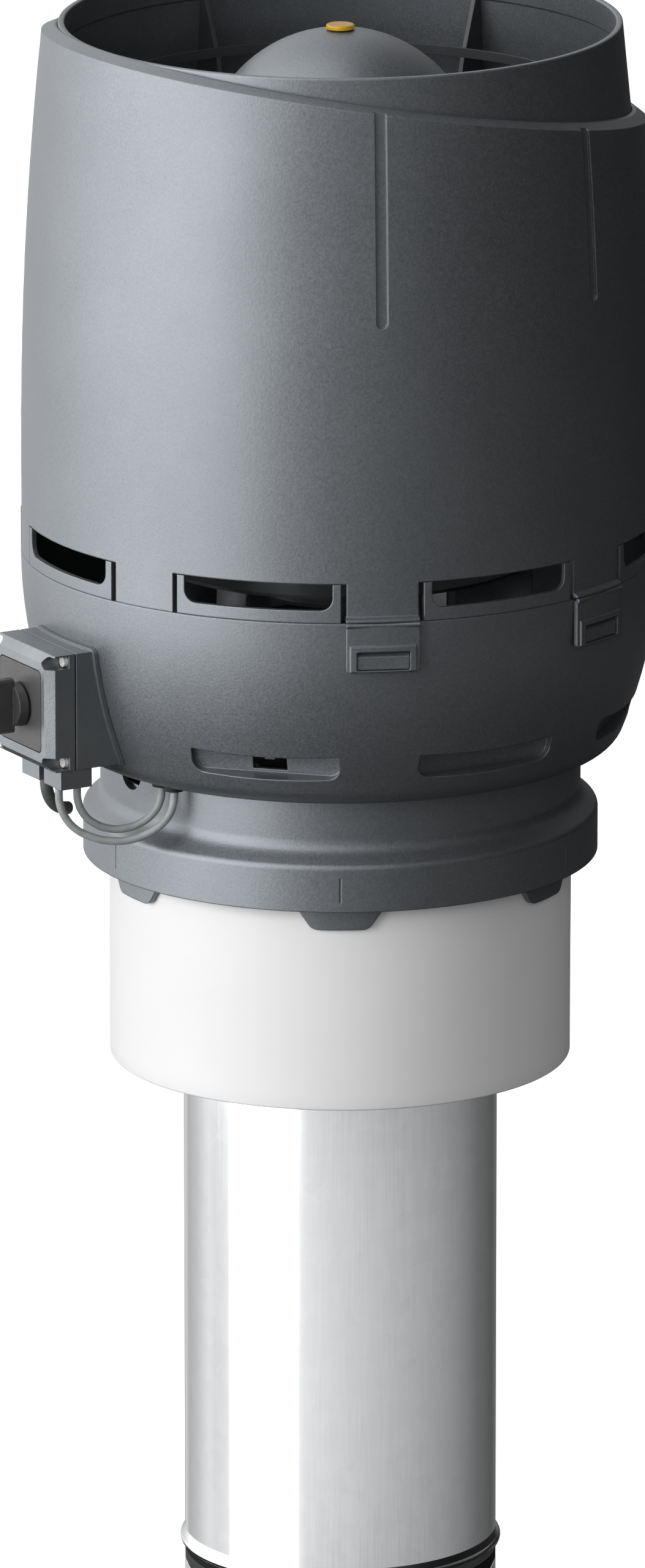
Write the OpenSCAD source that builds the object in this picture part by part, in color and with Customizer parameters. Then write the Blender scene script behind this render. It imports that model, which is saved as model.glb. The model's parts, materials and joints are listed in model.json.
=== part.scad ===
// Roof exhaust fan on an insulated round duct.
// Z points up the fan's axis, and the origin is the centre of the duct's lower end.
// The switch box is on the -X side, and the hood's slanted edge is highest there.

/* [Duct] */
// Outside diameter of the steel duct
duct_d = 200; // [160:5:250]
// Thickness of the duct's sheet
duct_wall = 1; // [0.8:0.1:2]
// Height of the collar's lower edge above the duct's end
collar_z = 500; // [420:5:620]
// Height of the rolled bead's lower edge
bead_z = 34; // [30:1:60]
// Height of the rolled bead
bead_h = 14; // [8:1:20]
// How far the bead stands proud
bead_out = 3; // [2:0.5:5]
// Height of the seal in its groove under the bead
seal_h = 8; // [5:0.5:12]

/* [Insulation] */
// Thickness of the insulation, with its jacket
insul_t = 47; // [30:1:60]
// Thickness of the jacket
jacket_t = 1.2; // [0.8:0.1:3]
// Bare duct below the insulation sleeve
bare_duct = 366; // [250:5:400]

/* [Collar] */
// Moulded wall thickness of the collar and the bowl
wall = 3.5; // [2.5:0.1:5]
// Gap between the sleeve and the outer skirt of the collar
skirt_gap = 13; // [9:0.5:20]
// Height of the collar's outer skirt
skirt_h = 27.5; // [20:0.5:40]
// Height of the whole collar, up to the bowl's floor
collar_h = 69.5; // [64:0.5:90]
// Number of tabs that hold the sleeve
tab_count = 6; // [4:1:8]
// How far the tabs hang below the skirt
tab_drop = 15; // [8:0.5:25]
// Width of a tab at the skirt
tab_w = 59; // [40:1:70]
// Radius of the half-round cable notch in the neck
notch_r = 13; // [8:0.5:16]

/* [Bowl] */
// Outside radius of the bowl at its rim
rim_r = 202; // [190:1:225]
// Height of the rim above the collar's lower edge
rim_h = 196; // [185:1:230]
// Radius of the bowl's side, in section
side_arc = 300; // [250:5:400]
// Slope of the bowl's side where the corner starts
side_angle = 22; // [16:0.5:26]
// Straight length between the side's arc and the corner
side_run = 2; // [1:0.5:12]
// Radius of the bowl's lower corner, in section
corner_arc = 17; // [12:0.5:24]
// Slope of the bowl's underside
under_angle = 80; // [68:1:84]

/* [Windows] */
// Number of windows round the fan
window_count = 8; // [6:1:10]
// Angle of each window's opening
window_a = 27.3; // [20:0.1:29]
// Angle of each post between the windows
post_a = 12.8; // [10:0.1:14]
// Height from the bowl's rim to the hood's lower edge
window_h = 25; // [20:0.5:35]
// Height of the sill under each opening
sill_h = 8; // [4:0.5:12]
// Angle of the gap between a post and a window frame
post_gap_a = 1; // [0.6:0.1:1.6]

/* [Pockets] */
// Width of a finger pocket in the bowl
pocket_w = 95; // [60:1:110]
// Height of a finger pocket
pocket_h = 16; // [12:0.5:28]
// Height of a pocket's lower edge above the collar's lower edge
pocket_z = 92; // [86:1:110]
// Distance of a pocket's flat back from the fan's axis, at its lower edge
pocket_back = 173; // [168:0.5:182]
// Lean of a pocket's back, in degrees outwards
pocket_lean = 14; // [0:1:35]

/* [Hood] */
// Wall thickness of the hood
hood_wall = 3.5; // [2.5:0.1:5]
// Height of the straight part above the hood's lower edge
straight_h = 39; // [20:1:80]
// Radius of the barrel curve above it
barrel_arc = 2580; // [2000:20:4000]
// Mean height of the slanted edge above the hood's lower edge
edge_h = 279; // [250:1:320]
// Slant of the upper edge
edge_tilt = 9.85; // [4:0.05:12]
// Rise of the sloped lip that closes the double wall
lip_rise = 5; // [3:0.5:8]
// Slope of the lip
lip_angle = 30; // [20:1:45]
// Width of the grooves above the latches
groove_w = 7; // [4:0.5:10]
// Depth of the grooves
groove_depth = 2; // [1:0.1:2.4]
// Height of the grooves' lower ends above the hood's lower edge
groove_z = 161; // [80:1:200]

/* [Outlet] */
// Outside radius of the outlet ring at its rim
outlet_r = 177; // [165:0.5:180]
// Height of the outlet ring's rim above the hood's lower edge
outlet_top = 314; // [300:1:340]
// Height of the outlet ring's seat above the hood's lower edge
outlet_seat = 129; // [110:1:150]
// Half angle of the outlet ring's taper
outlet_taper = 5.7; // [4:0.1:6.5]
// Wall thickness of the outlet ring
outlet_wall = 3; // [2.5:0.1:4]
// Inside radius of the guide ring
guide_r = 155; // [140:0.5:158]
// Height of the guide ring's lower edge below the outlet's rim
guide_drop = 53; // [48:1:80]
// Height of the guide ring
guide_h = 6.2; // [5:0.1:20]
// Number of webs
web_count = 6; // [3:1:8]
// Thickness of a web
web_t = 3; // [2:0.1:5]

/* [Dome] */
// Radius of the dome's crown
dome_arc = 88; // [80:1:96]
// Height of the dome's top below the outlet's rim
dome_drop = 6; // [2:0.5:20]
// Angle at which the crown runs into the straight flank
dome_angle = 50; // [40:1:60]
// Radius of the dome at its seat
dome_r = 104; // [98:0.5:112]
// Wall thickness of the dome
dome_wall = 3; // [2:0.1:4]
// Radius of the amber plug
plug_r = 9; // [6:0.5:12]

/* [Motor] */
// Height of the motor's flange above the bowl's rim
flange_rise = 36; // [33:0.5:50]
// Outside radius of the rotor can
can_r = 56; // [50:0.5:62]
// Height of the rotor can
can_h = 60; // [54:0.5:64]
// Radius of the shaft
shaft_r = 6; // [5:0.5:8]
// Outside radius of a bearing
bearing_r = 14; // [12:0.5:16]
// Height of a bearing
bearing_h = 8; // [6:0.5:10]

/* [Impeller] */
// Outside radius of the impeller
impeller_r = 125; // [110:1:140]
// Radius of the impeller's eye
eye_r = 82.5; // [76:0.5:88]
// Height between back plate and shroud at the rim
rim_gap = 46; // [36:1:52]
// Number of blades
blade_count = 7; // [5:1:11]
// Thickness of a blade
blade_t = 2; // [1.5:0.1:4]
// Radius of a blade's curve
blade_arc = 95; // [80:1:130]
// Thickness of the impeller's plates
plate_t = 2; // [1.5:0.1:3]

/* [Latches] */
// Angles of the two latches each side of the front and the back
latch_spread = 22.5; // [22.5:0.5:22.5]
// Width of a latch tongue
latch_w = 46; // [34:1:46]
// Height of a latch tongue
latch_h = 31; // [26:0.5:36]
// Thickness of a latch tongue
latch_t = 2.7; // [2:0.1:4]
// Width of the catch that the latch hooks over
catch_w = 32.6; // [20:0.2:33]
// Height of the catch
catch_h = 11; // [8:0.5:12]

/* [Switch box] */
// Width of the switch box
box_w = 72; // [66:1:84]
// Height of the switch box
box_h = 75; // [70:1:84]
// Height of the box's lower side above the collar's lower edge
box_z = 85; // [84:1:100]
// Distance of the box's front face from the fan's axis
box_x = 231; // [229:0.5:246]
// Depth of the cover
cover_d = 20; // [18:0.5:24]
// Wall thickness of the box
box_wall = 2.5; // [2:0.1:3]
// Chamfer round the cover's front
cover_chamfer = 5; // [3:0.5:6]
// Width of the switch plate
plate_w = 52; // [44:1:54]
// Radius of the knob's disc
knob_r = 14; // [11:0.5:17]
// Length of the knob's handle
handle_l = 35; // [28:1:40]
// Radius of the switch spindle
spindle_r = 4; // [3:0.5:5]
// Height of the gland blocks under the box
gland_h = 12; // [8:0.5:16]
// Outside radius of the rubber elbow for the supply cable
elbow_r = 4; // [3.6:0.1:5]
// Wall thickness of the elbow
elbow_wall = 1; // [0.8:0.1:1.4]
// Radius of the elbow's bend
elbow_bend = 21.4; // [14:0.2:24]

/* [Fits] */
// Gap between pieces that slide past each other
slide_gap = 0.4; // [0.3:0.05:0.6]
// Gap between curved pieces that sit in each other
seat_gap = 0.3; // [0.2:0.05:0.4]
// Radial gap of a running fit
run_gap = 0.04; // [0.02:0.01:0.1]
// Gap round a screw in its hole
screw_gap = 0.25; // [0.1:0.05:0.4]
// Gap between the inlet nozzle and the impeller's eye
eye_gap = 2; // [1:0.25:4]

/* [Hidden] */

$fn = 180;
small_fn = 48;
eps = 0.01;
tall = 1500;

// Directions round the fan, in degrees from +X
front_a = 270;
back_a = 90;
box_a = 180;
latch_as = [front_a - latch_spread, front_a + latch_spread,
    back_a + latch_spread, back_a - latch_spread];
window_step = 360 / window_count;

// Radii from the duct outwards
duct_r = duct_d / 2;
bore_r = duct_r - duct_wall;
sleeve_r = duct_r + insul_t;
hug_r = sleeve_r + slide_gap;
tab_t = wall;
skirt_r = sleeve_r + skirt_gap + wall;
neck_r = hug_r + tab_t + 1.6;

// Heights from the duct's end upwards
sleeve_top = collar_z + collar_h - 3 * wall - 1;
floor_z = collar_z + collar_h;
floor_top = floor_z + wall;
rim_z = collar_z + rim_h;
hood_z = rim_z + window_h;
outlet_z = hood_z + outlet_top;
seat_z = hood_z + outlet_seat;
edge_z = hood_z + edge_h;
ledge_t = 4;
ledge_z = hood_z + 3;
flange_z = rim_z + flange_rise;
flange_t = 8;
support_z = flange_z + flange_t;
can_top = flange_z - 4;
can_z = can_top - can_h;
back_z = can_top - 36;
shroud_z = back_z - rim_gap;
dome_top = outlet_z - dome_drop;
dome_centre = dome_top - dome_arc;
flank_r = dome_arc * sin(dome_angle);
flank_z = dome_centre + dome_arc * cos(dome_angle);
dome_seat = flank_z - (dome_r - flank_r) * tan(dome_angle);

// The hood's section: a straight part, then an arc that draws it in
hood_r = rim_r - 0.5;
barrel_z = hood_z + straight_h;
function barrel(z) = hood_r - barrel_arc
    + sqrt(barrel_arc * barrel_arc - pow(max(0, z - barrel_z), 2));
function outlet_at(z) = outlet_r + (outlet_z - z) * tan(outlet_taper);

// Points on an arc about [cx, cz], from angle a0 to a1
function arc(cx, cz, r, a0, a1, n) =
    [for (i = [0:n]) let (a = a0 + (a1 - a0) * i / n) [cx + r * cos(a), cz + r * sin(a)]];

// An outline with rounded corners: rs holds one radius for each point
function unit(v) = v / norm(v);
function corner(p, a, b, r, n) =
    r == 0 ? [p] :
    let (
        u = unit(a - p),
        v = unit(b - p),
        half = acos(u * v) / 2,
        reach = r / tan(half),
        c = p + unit(u + v) * r / sin(half),
        s = p + u * reach - c,
        e = p + v * reach - c,
        a0 = atan2(s[1], s[0]),
        turn = atan2(s[0] * e[1] - s[1] * e[0], s * e)
    ) [for (i = [0:n]) c + r * [cos(a0 + turn * i / n), sin(a0 + turn * i / n)]];
function rounded(pts, rs, n = 6) =
    let (m = len(pts))
    [for (i = [0:m - 1]) each corner(pts[i], pts[(i + m - 1) % m], pts[(i + 1) % m], rs[i], n)];
function rect(x0, x1, y0, y1) = [[x0, y0], [x1, y0], [x1, y1], [x0, y1]];

// The bowl's section from its rim down to its neck, moved inwards by d
side_c = [rim_r - side_arc, rim_z];
side_end = side_c + side_arc * [cos(side_angle), -sin(side_angle)]
    + side_run * [-sin(side_angle), -cos(side_angle)];
corner_c = side_end - corner_arc * [cos(side_angle), -sin(side_angle)];
function under_at(r, d) =
    let (p = corner_c + (corner_arc - d) * [cos(under_angle), -sin(under_angle)])
    p[1] - (p[0] - r) / tan(under_angle);
function bowl_path(d, r_in) = concat(
    arc(side_c[0], side_c[1], side_arc - d, 0, -side_angle, 10),
    arc(corner_c[0], corner_c[1], corner_arc - d, -side_angle, -under_angle, 10),
    [[r_in, under_at(r_in, d)]]);

// A block between two angles and two radii
module sector(r0, r1, z0, z1, a, width) {
    rotate([0, 0, a - width / 2])
        rotate_extrude(angle = width)
            polygon(rect(r0, r1, z0, z1));
}

// Places its children at an angle, with X pointing out from the axis
module at(a) {
    rotate([0, 0, a]) children();
}

// Pushes an outline of width along the rim and height up the axis out from radius r
module push_out(r, depth) {
    translate([r, 0, 0])
        rotate([90, 0, 90])
            linear_extrude(depth) children();
}

// A pan-head screw that points down, with its head's underside at z = 0
module screw(r, l, head_r, head_h) {
    translate([0, 0, -l]) cylinder(r = r, h = l + eps, $fn = small_fn);
    difference() {
        cylinder(r = head_r, h = head_h, $fn = small_fn);
        translate([0, 0, head_h - 1.4]) cylinder(r = head_r * 0.45, h = 2, $fn = 6);
    }
}

// A tube of radius r swept along a route, drawn in to its end directions
function dir(p, i) =
    i == 0 ? unit(p[1] - p[0]) :
    i == len(p) - 1 ? unit(p[i] - p[i - 1]) : unit(unit(p[i] - p[i - 1]) + unit(p[i + 1] - p[i]));
module tube(p, side, r, n = 8) {
    m = len(p);
    rings = [for (i = [0:m - 1])
        let (t = dir(p, i), u = unit(cross(t, side)), v = cross(t, u))
        for (k = [0:n - 1]) p[i] + r * (u * cos(360 * k / n) + v * sin(360 * k / n))];
    ends = [[for (k = [0:n - 1]) k], [for (k = [n - 1:-1:0]) (m - 1) * n + k]];
    walls = [for (i = [0:m - 2], k = [0:n - 1])
        let (a = i * n + k, b = i * n + (k + 1) % n) each [[a, a + n, b + n], [a, b + n, b]]];
    polyhedron(points = rings, faces = concat(ends, walls), convexity = 6);
}

// Steel duct: a rolled bead stiffens its end, and a groove under it holds the seal
seal_z0 = bead_z - seal_h;
seal_depth = 2.5;
module steel_duct() {
    outside = concat(
        [[duct_r, 0], [duct_r, seal_z0 - 1], [duct_r - seal_depth, seal_z0],
            [duct_r - seal_depth, bead_z - 1], [duct_r, bead_z]],
        arc(duct_r, bead_z + bead_h / 2, bead_out, -60, 60, 8),
        [[duct_r, bead_z + bead_h], [duct_r, floor_top]]);
    inside = [for (i = [len(outside) - 1:-1:0]) [outside[i][0] - duct_wall, outside[i][1]]];
    color("lightgray") rotate_extrude() polygon(concat(outside, inside));
}

module duct_seal() {
    color([0.1, 0.1, 0.1]) rotate_extrude() polygon(
        rounded(rect(duct_r - seal_depth + 0.05, duct_r - 0.1, seal_z0 + 0.4, bead_z - 1.2),
            [0, 1, 1, 0]));
}

// Insulation: a soft core in a thin white jacket
core_gap = 0.3;
spigot_t = 3.2;
spigot_z = floor_z - 29;
module insulation_jacket() {
    color("white") rotate_extrude()
        polygon(rect(sleeve_r - jacket_t, sleeve_r, bare_duct, sleeve_top));
}
module insulation_core() {
    color([0.85, 0.8, 0.6]) rotate_extrude()
        polygon(rect(duct_r + core_gap, sleeve_r - jacket_t - core_gap, bare_duct + 2, spigot_z - 1));
}

// Neck collar: a skirt with a grooved shoulder, an inner wall with tabs, and a top flange
shoulder_z = collar_z + skirt_h;
skirt_rib_count = 12;
module tab_outline() {
    w = tab_w / 2;
    low = w * 0.6;
    polygon(rounded([[-w, collar_z + wall], [w, collar_z + wall], [w - 2, collar_z - 1],
        [low, collar_z - tab_drop], [-low, collar_z - tab_drop], [2 - w, collar_z - 1]],
        [0, 0, 4, 8, 8, 4]));
}
module collar_section() {
    run = skirt_r - neck_r;
    top = floor_z;
    flange = top - wall;
    polygon(concat(
        [[hug_r, collar_z], [hug_r + tab_t, collar_z], [hug_r + tab_t, shoulder_z - wall],
            [skirt_r - wall, shoulder_z - wall], [skirt_r - wall, collar_z], [skirt_r, collar_z]],
        arc(skirt_r - 4, shoulder_z - 1, 4, 0, 60, 6),
        [[skirt_r - run * 0.5, shoulder_z + 4], [skirt_r - run * 0.54, shoulder_z + 6.5]],
        arc(skirt_r - run * 0.6, shoulder_z + 9, 2, 30, 75, 4),
        [[skirt_r - run * 0.78, shoulder_z + 11.4]],
        arc(skirt_r - run * 0.84, shoulder_z + 14.5, 1.6, 20, 80, 4),
        [[neck_r, shoulder_z + 18], [neck_r, top], [duct_r + seat_gap, top],
            [duct_r + seat_gap, spigot_z], [duct_r + seat_gap + spigot_t, spigot_z],
            [duct_r + seat_gap + spigot_t, flange], [neck_r - wall, flange],
            [neck_r - wall, sleeve_top + seat_gap], [hug_r, sleeve_top + seat_gap]]));
}
module neck_collar() {
    color([0.35, 0.37, 0.39]) difference() {
        union() {
            rotate_extrude() collar_section();
            intersection() {
                rotate_extrude() polygon(rect(hug_r, hug_r + tab_t, collar_z - tab_drop, collar_z + 1));
                for (i = [0:tab_count - 1])
                    at(i * 360 / tab_count) push_out(hug_r - 40, 60) tab_outline();
            }
            for (i = [0:skirt_rib_count - 1])
                at((i + 0.5) * 360 / skirt_rib_count)
                    translate([hug_r + 1, -1.25, collar_z + 5])
                        cube([skirt_r - hug_r - 3, 2.5, skirt_h - wall - 4]);
        }
        for (i = [0:tab_count - 1])
            at(i * 360 / tab_count)
                translate([skirt_r - 0.7, -0.5, collar_z + 6]) cube([4, 1, 16]);
        at(box_a) translate([neck_r - 2 * wall, 0, floor_z])
            rotate([0, 90, 0]) cylinder(r = notch_r, h = 4 * wall, $fn = small_fn);
        collar_holes(floor_z - 2 * wall, 4 * wall);
        duct_rivet_holes();
    }
}

// Screws through the bowl's floor into the collar's flange
collar_screw_r = 2.5;
collar_bolt_r = neck_r - 15;
nozzle_bolt_r = duct_r + 11;
bolt_count = 6;
module collar_holes(z, h) {
    for (i = [0:bolt_count - 1])
        at((i + 0.5) * 360 / bolt_count) {
            translate([collar_bolt_r, 0, z])
                cylinder(r = collar_screw_r + screw_gap, h = h, $fn = small_fn);
            translate([nozzle_bolt_r, 0, z])
                cylinder(r = collar_screw_r + screw_gap, h = h, $fn = small_fn);
        }
}
module collar_screws() {
    color("silver") for (i = [0:bolt_count - 1])
        at((i + 0.5) * 360 / bolt_count)
            translate([collar_bolt_r, 0, floor_top]) screw(collar_screw_r, 2 * wall + 3, 4.8, 3);
}
module nozzle_screws() {
    color("silver") for (i = [0:bolt_count - 1])
        at((i + 0.5) * 360 / bolt_count)
            translate([nozzle_bolt_r, 0, floor_top + nozzle_t])
                screw(collar_screw_r, 2 * wall + nozzle_t + 3, 4.8, 3);
}

// Blind rivets that hold the duct in the collar's spigot
rivet_count = 4;
rivet_r = 2;
rivet_z = spigot_z + 10;
module duct_rivet_holes() {
    for (i = [0:rivet_count - 1])
        at((i + 0.5) * 360 / rivet_count) translate([0, 0, rivet_z])
            rotate([0, 90, 0]) cylinder(r = rivet_r + screw_gap, h = hug_r - 20, $fn = small_fn);
}
module duct_rivets() {
    color("silver") for (i = [0:rivet_count - 1])
        at((i + 0.5) * 360 / rivet_count) translate([0, 0, rivet_z]) rotate([0, 90, 0]) {
            translate([0, 0, duct_r + seat_gap + spigot_t])
                cylinder(r1 = rivet_r * 2, r2 = rivet_r * 1.4, h = 1.2, $fn = small_fn);
            translate([0, 0, duct_r + 0.05])
                cylinder(r = rivet_r, h = spigot_t + seat_gap, $fn = small_fn);
        }
}

// Base bowl: side, underside and floor, with catches for the latches
module bowl_solid(d, low, top) {
    rotate_extrude() polygon(concat([[0, top], [rim_r - d, top]], bowl_path(d, low),
        [[low, floor_z + d], [0, floor_z + d]]));
}
lip_gap = 0.4;
pocket_r = 8;
pocket_as = [for (i = [0:window_count - 1]) if (i * window_step != box_a) i * window_step];
pocket_window_as = [box_a + window_step, box_a - window_step];
pocket_window_w = 22;
pocket_window_h = 10.7;
pocket_window_low = 2.1;
pocket_window_shift = 1.5;
pocket_tooth = [6.5, 4];
module pocket_window() {
    s = pocket_window_shift;
    low = collar_z + pocket_z + pocket_window_low;
    top = low + pocket_window_h;
    push_out(pocket_back - 20, 60) difference() {
        polygon(rect(s - pocket_window_w / 2, s + pocket_window_w / 2, low, top));
        polygon(rect(s - pocket_tooth[0] / 2, s + pocket_tooth[0] / 2,
            top - pocket_tooth[1], top + 1));
    }
}
module pocket(grow) {
    w = pocket_w / 2 + grow;
    h = pocket_h / cos(pocket_lean) + grow;
    r = pocket_r + grow;
    translate([pocket_back, 0, collar_z + pocket_z]) rotate([0, pocket_lean, 0])
        push_out(-grow, 60)
            polygon(rounded([[-w, -grow], [w, -grow], [w, h], [-w, h]], [r, r, 1, 1]));
}
frame_top = hood_z - slide_gap;
post_seat = 0.1;
seam_z = rim_z - post_seat;
seam = 0.5;
module window_opening() {
    half = rim_r * sin(window_a / 2);
    z0 = rim_z + sill_h;
    push_out(rim_r - 40, 80) polygon(rounded(
        [[-half, z0], [half, z0], [half, hood_z + 10], [-half, hood_z + 10]], [8, 8, 0, 0]));
}
latch_gap = 0.4;
latch_r0 = rim_r + latch_gap;
catch_top = rim_z - 18;
catch_z = catch_top - catch_h;
catch_out = 2;
module latch_catch() {
    in_r = rim_r - wall;
    tip_r = latch_r0 + catch_out;
    push = [[in_r - 1, catch_z], [tip_r, catch_z], [tip_r, catch_top - 3],
        [latch_r0 - 1, catch_top], [in_r - 1, catch_top]];
    rotate([90, 0, 0]) linear_extrude(catch_w, center = true) polygon(push);
}
module base_bowl() {
    color([0.35, 0.37, 0.39]) difference() {
        union() {
            difference() {
                difference() {
                    bowl_solid(0, neck_r + lip_gap, rim_z + 1);
                    for (a = pocket_as) at(a) pocket(0);
                }
                difference() {
                    bowl_solid(wall, neck_r + lip_gap, rim_z + 5);
                    for (a = pocket_as) at(a) pocket(wall);
                }
                rotate_extrude() polygon([[0, seam_z], [rim_r - seam, seam_z],
                    [rim_r + 1, seam_z - seam - 1], [rim_r + 1, rim_z + 2], [0, rim_z + 2]]);
            }
            for (a = latch_as) at(a) latch_catch();
        }
        for (a = pocket_window_as) at(a) pocket_window();
        translate([0, 0, floor_z - 5]) cylinder(r = duct_r + seat_gap, h = 20);
        collar_holes(floor_z - wall, 4 * wall);
        for (p = cable_ends) translate([p[0], p[1], floor_z - 10])
            cylinder(r = cable_grommet_r + 0.1, h = 40, $fn = small_fn);
        box_screw_holes();
    }
}

// Window frames: clipped into the bowl's rim between the hood's posts
frame_lip = 8;
frame_lip_t = 2;
module window_frames() {
    in_r = rim_r - wall;
    lip_r = in_r - seat_gap;
    color([0.35, 0.37, 0.39]) difference() {
        for (i = [0:window_count - 1]) intersection() {
            rotate_extrude() polygon([[lip_r - frame_lip_t, seam_z - frame_lip],
                [lip_r, seam_z - frame_lip], [lip_r, seam_z], [rim_r - seam, seam_z],
                [rim_r, seam_z + seam], [rim_r, frame_top], [in_r, frame_top],
                [in_r, seam_z + 5], [lip_r - frame_lip_t, seam_z + 2]]);
            sector(rim_r - 30, rim_r + 30, seam_z - frame_lip - 1, hood_z + 10,
                i * window_step, window_step - post_a - 2 * post_gap_a);
        }
        for (i = [0:window_count - 1]) at(i * window_step) window_opening();
    }
}

// Inlet nozzle: a bell that draws the duct's bore in to the impeller's eye
nozzle_t = 2;
nozzle_r = eye_r - eye_gap;
nozzle_top = shroud_z - 20;
nozzle_h = nozzle_top - floor_top - nozzle_t;
module inlet_nozzle() {
    run = bore_r - (nozzle_r - nozzle_t);
    bell = [for (i = [0:10]) let (a = 90 * i / 10)
        [bore_r - run * sin(a), floor_top + nozzle_t + nozzle_h * 0.8 * (1 - cos(a))]];
    back = [for (i = [10:-1:1]) let (a = 90 * i / 10)
        [bore_r - run * sin(a) + nozzle_t, floor_top + nozzle_t + nozzle_h * 0.8 * (1 - cos(a))]];
    color([0.3, 0.32, 0.34]) difference() {
        rotate_extrude() polygon(concat([[bore_r, floor_top]], bell,
            [[nozzle_r - nozzle_t, nozzle_top], [nozzle_r, nozzle_top]], back,
            [[bore_r + 2 * nozzle_t, floor_top + nozzle_t],
                [nozzle_bolt_r + 8, floor_top + nozzle_t], [nozzle_bolt_r + 8, floor_top]]));
        collar_holes(floor_z, 40);
    }
}

// Outer hood: a barrel cut on a slant, with a sloped lip that closes on the outlet ring
edge_low = barrel(edge_z + outlet_r * tan(edge_tilt));
edge_high = barrel(edge_z - outlet_r * tan(edge_tilt));
edge_r = (edge_low + edge_high) / 2 / cos(edge_tilt);
edge_shift = (edge_high - edge_low) / 2;
barrel_steps = 12;
module barrel_solid(d, z0) {
    top = outlet_z + 20;
    rotate_extrude() polygon(concat([[0, z0], [hood_r - d, z0], [hood_r - d, barrel_z]],
        [for (i = [1:barrel_steps]) let (z = barrel_z + (top - barrel_z) * i / barrel_steps)
            [barrel(z) - d, z]],
        [[0, top]]));
}
slant_wall = 3.4;
module under_slant(drop) {
    deep = 420;
    translate([edge_shift, 0, edge_z - drop]) rotate([0, edge_tilt, 0])
        translate([0, 0, -deep])
            cylinder(r1 = edge_r + deep / tan(lip_angle), r2 = edge_r - lip_rise / tan(lip_angle),
                h = deep + lip_rise);
}
module groove_cut() {
    r = groove_w / 2;
    push_out(hood_r - 40, 80) {
        translate([0, hood_z + groove_z + r]) circle(r = r, $fn = small_fn);
        polygon(rect(-r, r, hood_z + groove_z + r, hood_z + 400));
    }
}
module groove_tool() {
    intersection() {
        groove_cut();
        difference() {
            translate([0, 0, hood_z]) cylinder(r = rim_r + 20, h = 400);
            barrel_solid(groove_depth, hood_z - 1);
        }
    }
}
hinge_z = rim_z - 0.8;
hinge_r = latch_r0 + latch_t / 2;
hinge_bead = 1.5;
module outer_hood() {
    color([0.35, 0.37, 0.39]) difference() {
        union() {
            difference() {
                intersection() {
                    barrel_solid(0, rim_z);
                    under_slant(0);
                }
                intersection() {
                    barrel_solid(hood_wall, rim_z - 1);
                    under_slant(slant_wall);
                }
                for (i = [0:window_count - 1])
                    sector(hood_r - 30, hood_r + 30, rim_z - 10, hood_z, i * window_step,
                        window_step - post_a);
            }
            for (a = latch_as) at(a) intersection() {
                rotate_extrude() polygon([[hood_r - 1, rim_z + 4.5], [hood_r - 1, rim_z + 1],
                    [latch_r0 + latch_t, rim_z + 1], [latch_r0 + latch_t, rim_z + 2.5]]);
                translate([hood_r - 20, -latch_w / 2, rim_z]) cube([40, latch_w, 20]);
            }
            rotate_extrude() polygon([[hood_r - 17, ledge_z], [hood_r - 1, ledge_z],
                [hood_r - 1, ledge_z + ledge_t], [hood_r - 17, ledge_z + ledge_t]]);
            rotate_extrude() polygon([[outlet_at(seat_z) - outlet_wall, seat_z],
                [barrel(seat_z) - 1, seat_z - 8], [barrel(seat_z) - 1, seat_z]]);
        }
        translate([0, 0, seat_z]) cylinder(r1 = outlet_at(seat_z) + seat_gap,
            r2 = outlet_r + seat_gap - 10 * tan(outlet_taper), h = outlet_z - seat_z + 10);
        for (a = latch_as) at(a) groove_tool();
        support_holes(ledge_z - 1, 3 * ledge_t);
    }
}

// Outlet ring: the tapered inner shell, with a thicker rim
rim_band = 18;
rim_step = 1.2;
step_z = outlet_z - rim_band;
module outlet_ring() {
    r0 = outlet_at(seat_z);
    step_r = outlet_at(step_z);
    color([0.33, 0.35, 0.37]) rotate_extrude() polygon(concat(
        [[r0 - outlet_wall, seat_z], [r0, seat_z]],
        arc(outlet_r - rim_step, outlet_z - rim_step, rim_step, 0, 90, 4),
        arc(outlet_r - outlet_wall, outlet_z - rim_step, rim_step, 90, 180, 4),
        [[step_r - outlet_wall - rim_step, step_z], [step_r - outlet_wall, step_z - 1]]));
}

// Motor support: a tapered hub, webs out to the hood and the guide ring
hub_r0 = can_r + 8;
hub_floor = 4;
hub_wall = 3;
foot_w = 24;
foot_h = 4;
foot_z = ledge_z + ledge_t;
foot_r = hood_r - 10;
guide_z = outlet_z - guide_drop;
web_as = [for (i = [0:web_count - 1]) (i + 0.5) * 360 / web_count];
module support_holes(z, h) {
    for (a = web_as, s = [-1, 1]) at(a) translate([foot_r, s * foot_w / 3, z])
        cylinder(r = collar_screw_r + screw_gap, h = h, $fn = small_fn);
}
module support_screws() {
    color("silver") for (a = web_as, s = [-1, 1]) at(a)
        translate([foot_r, s * foot_w / 3, foot_z + foot_h])
            screw(collar_screw_r, foot_h + ledge_t + 2, 4.6, 2.8);
}
module web_outline() {
    in_z = outlet_z - 9;
    out_in = hood_r - hood_wall - seat_gap;
    polygon([[hub_r0 - 2, support_z], [hood_r - 18, support_z - 4], [out_in - 1, foot_z],
        [out_in, foot_z + 1], [out_in, barrel_z], [barrel(seat_z) - hood_wall - 5, seat_z - 14],
        [outlet_at(seat_z) - outlet_wall - 1, seat_z],
        [outlet_at(step_z - 1.5) - outlet_wall - seat_gap, step_z - 1.5],
        [outlet_at(step_z - 1.5) - rim_step - outlet_wall - seat_gap, step_z - 1.5],
        [outlet_at(in_z) - outlet_wall - rim_step - 2 * seat_gap, in_z],
        [guide_r, guide_z], [guide_r - 14, guide_z - 50], [dome_r - 1, dome_seat - 50],
        [dome_r - 8, dome_seat - 60]]);
}
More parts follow.
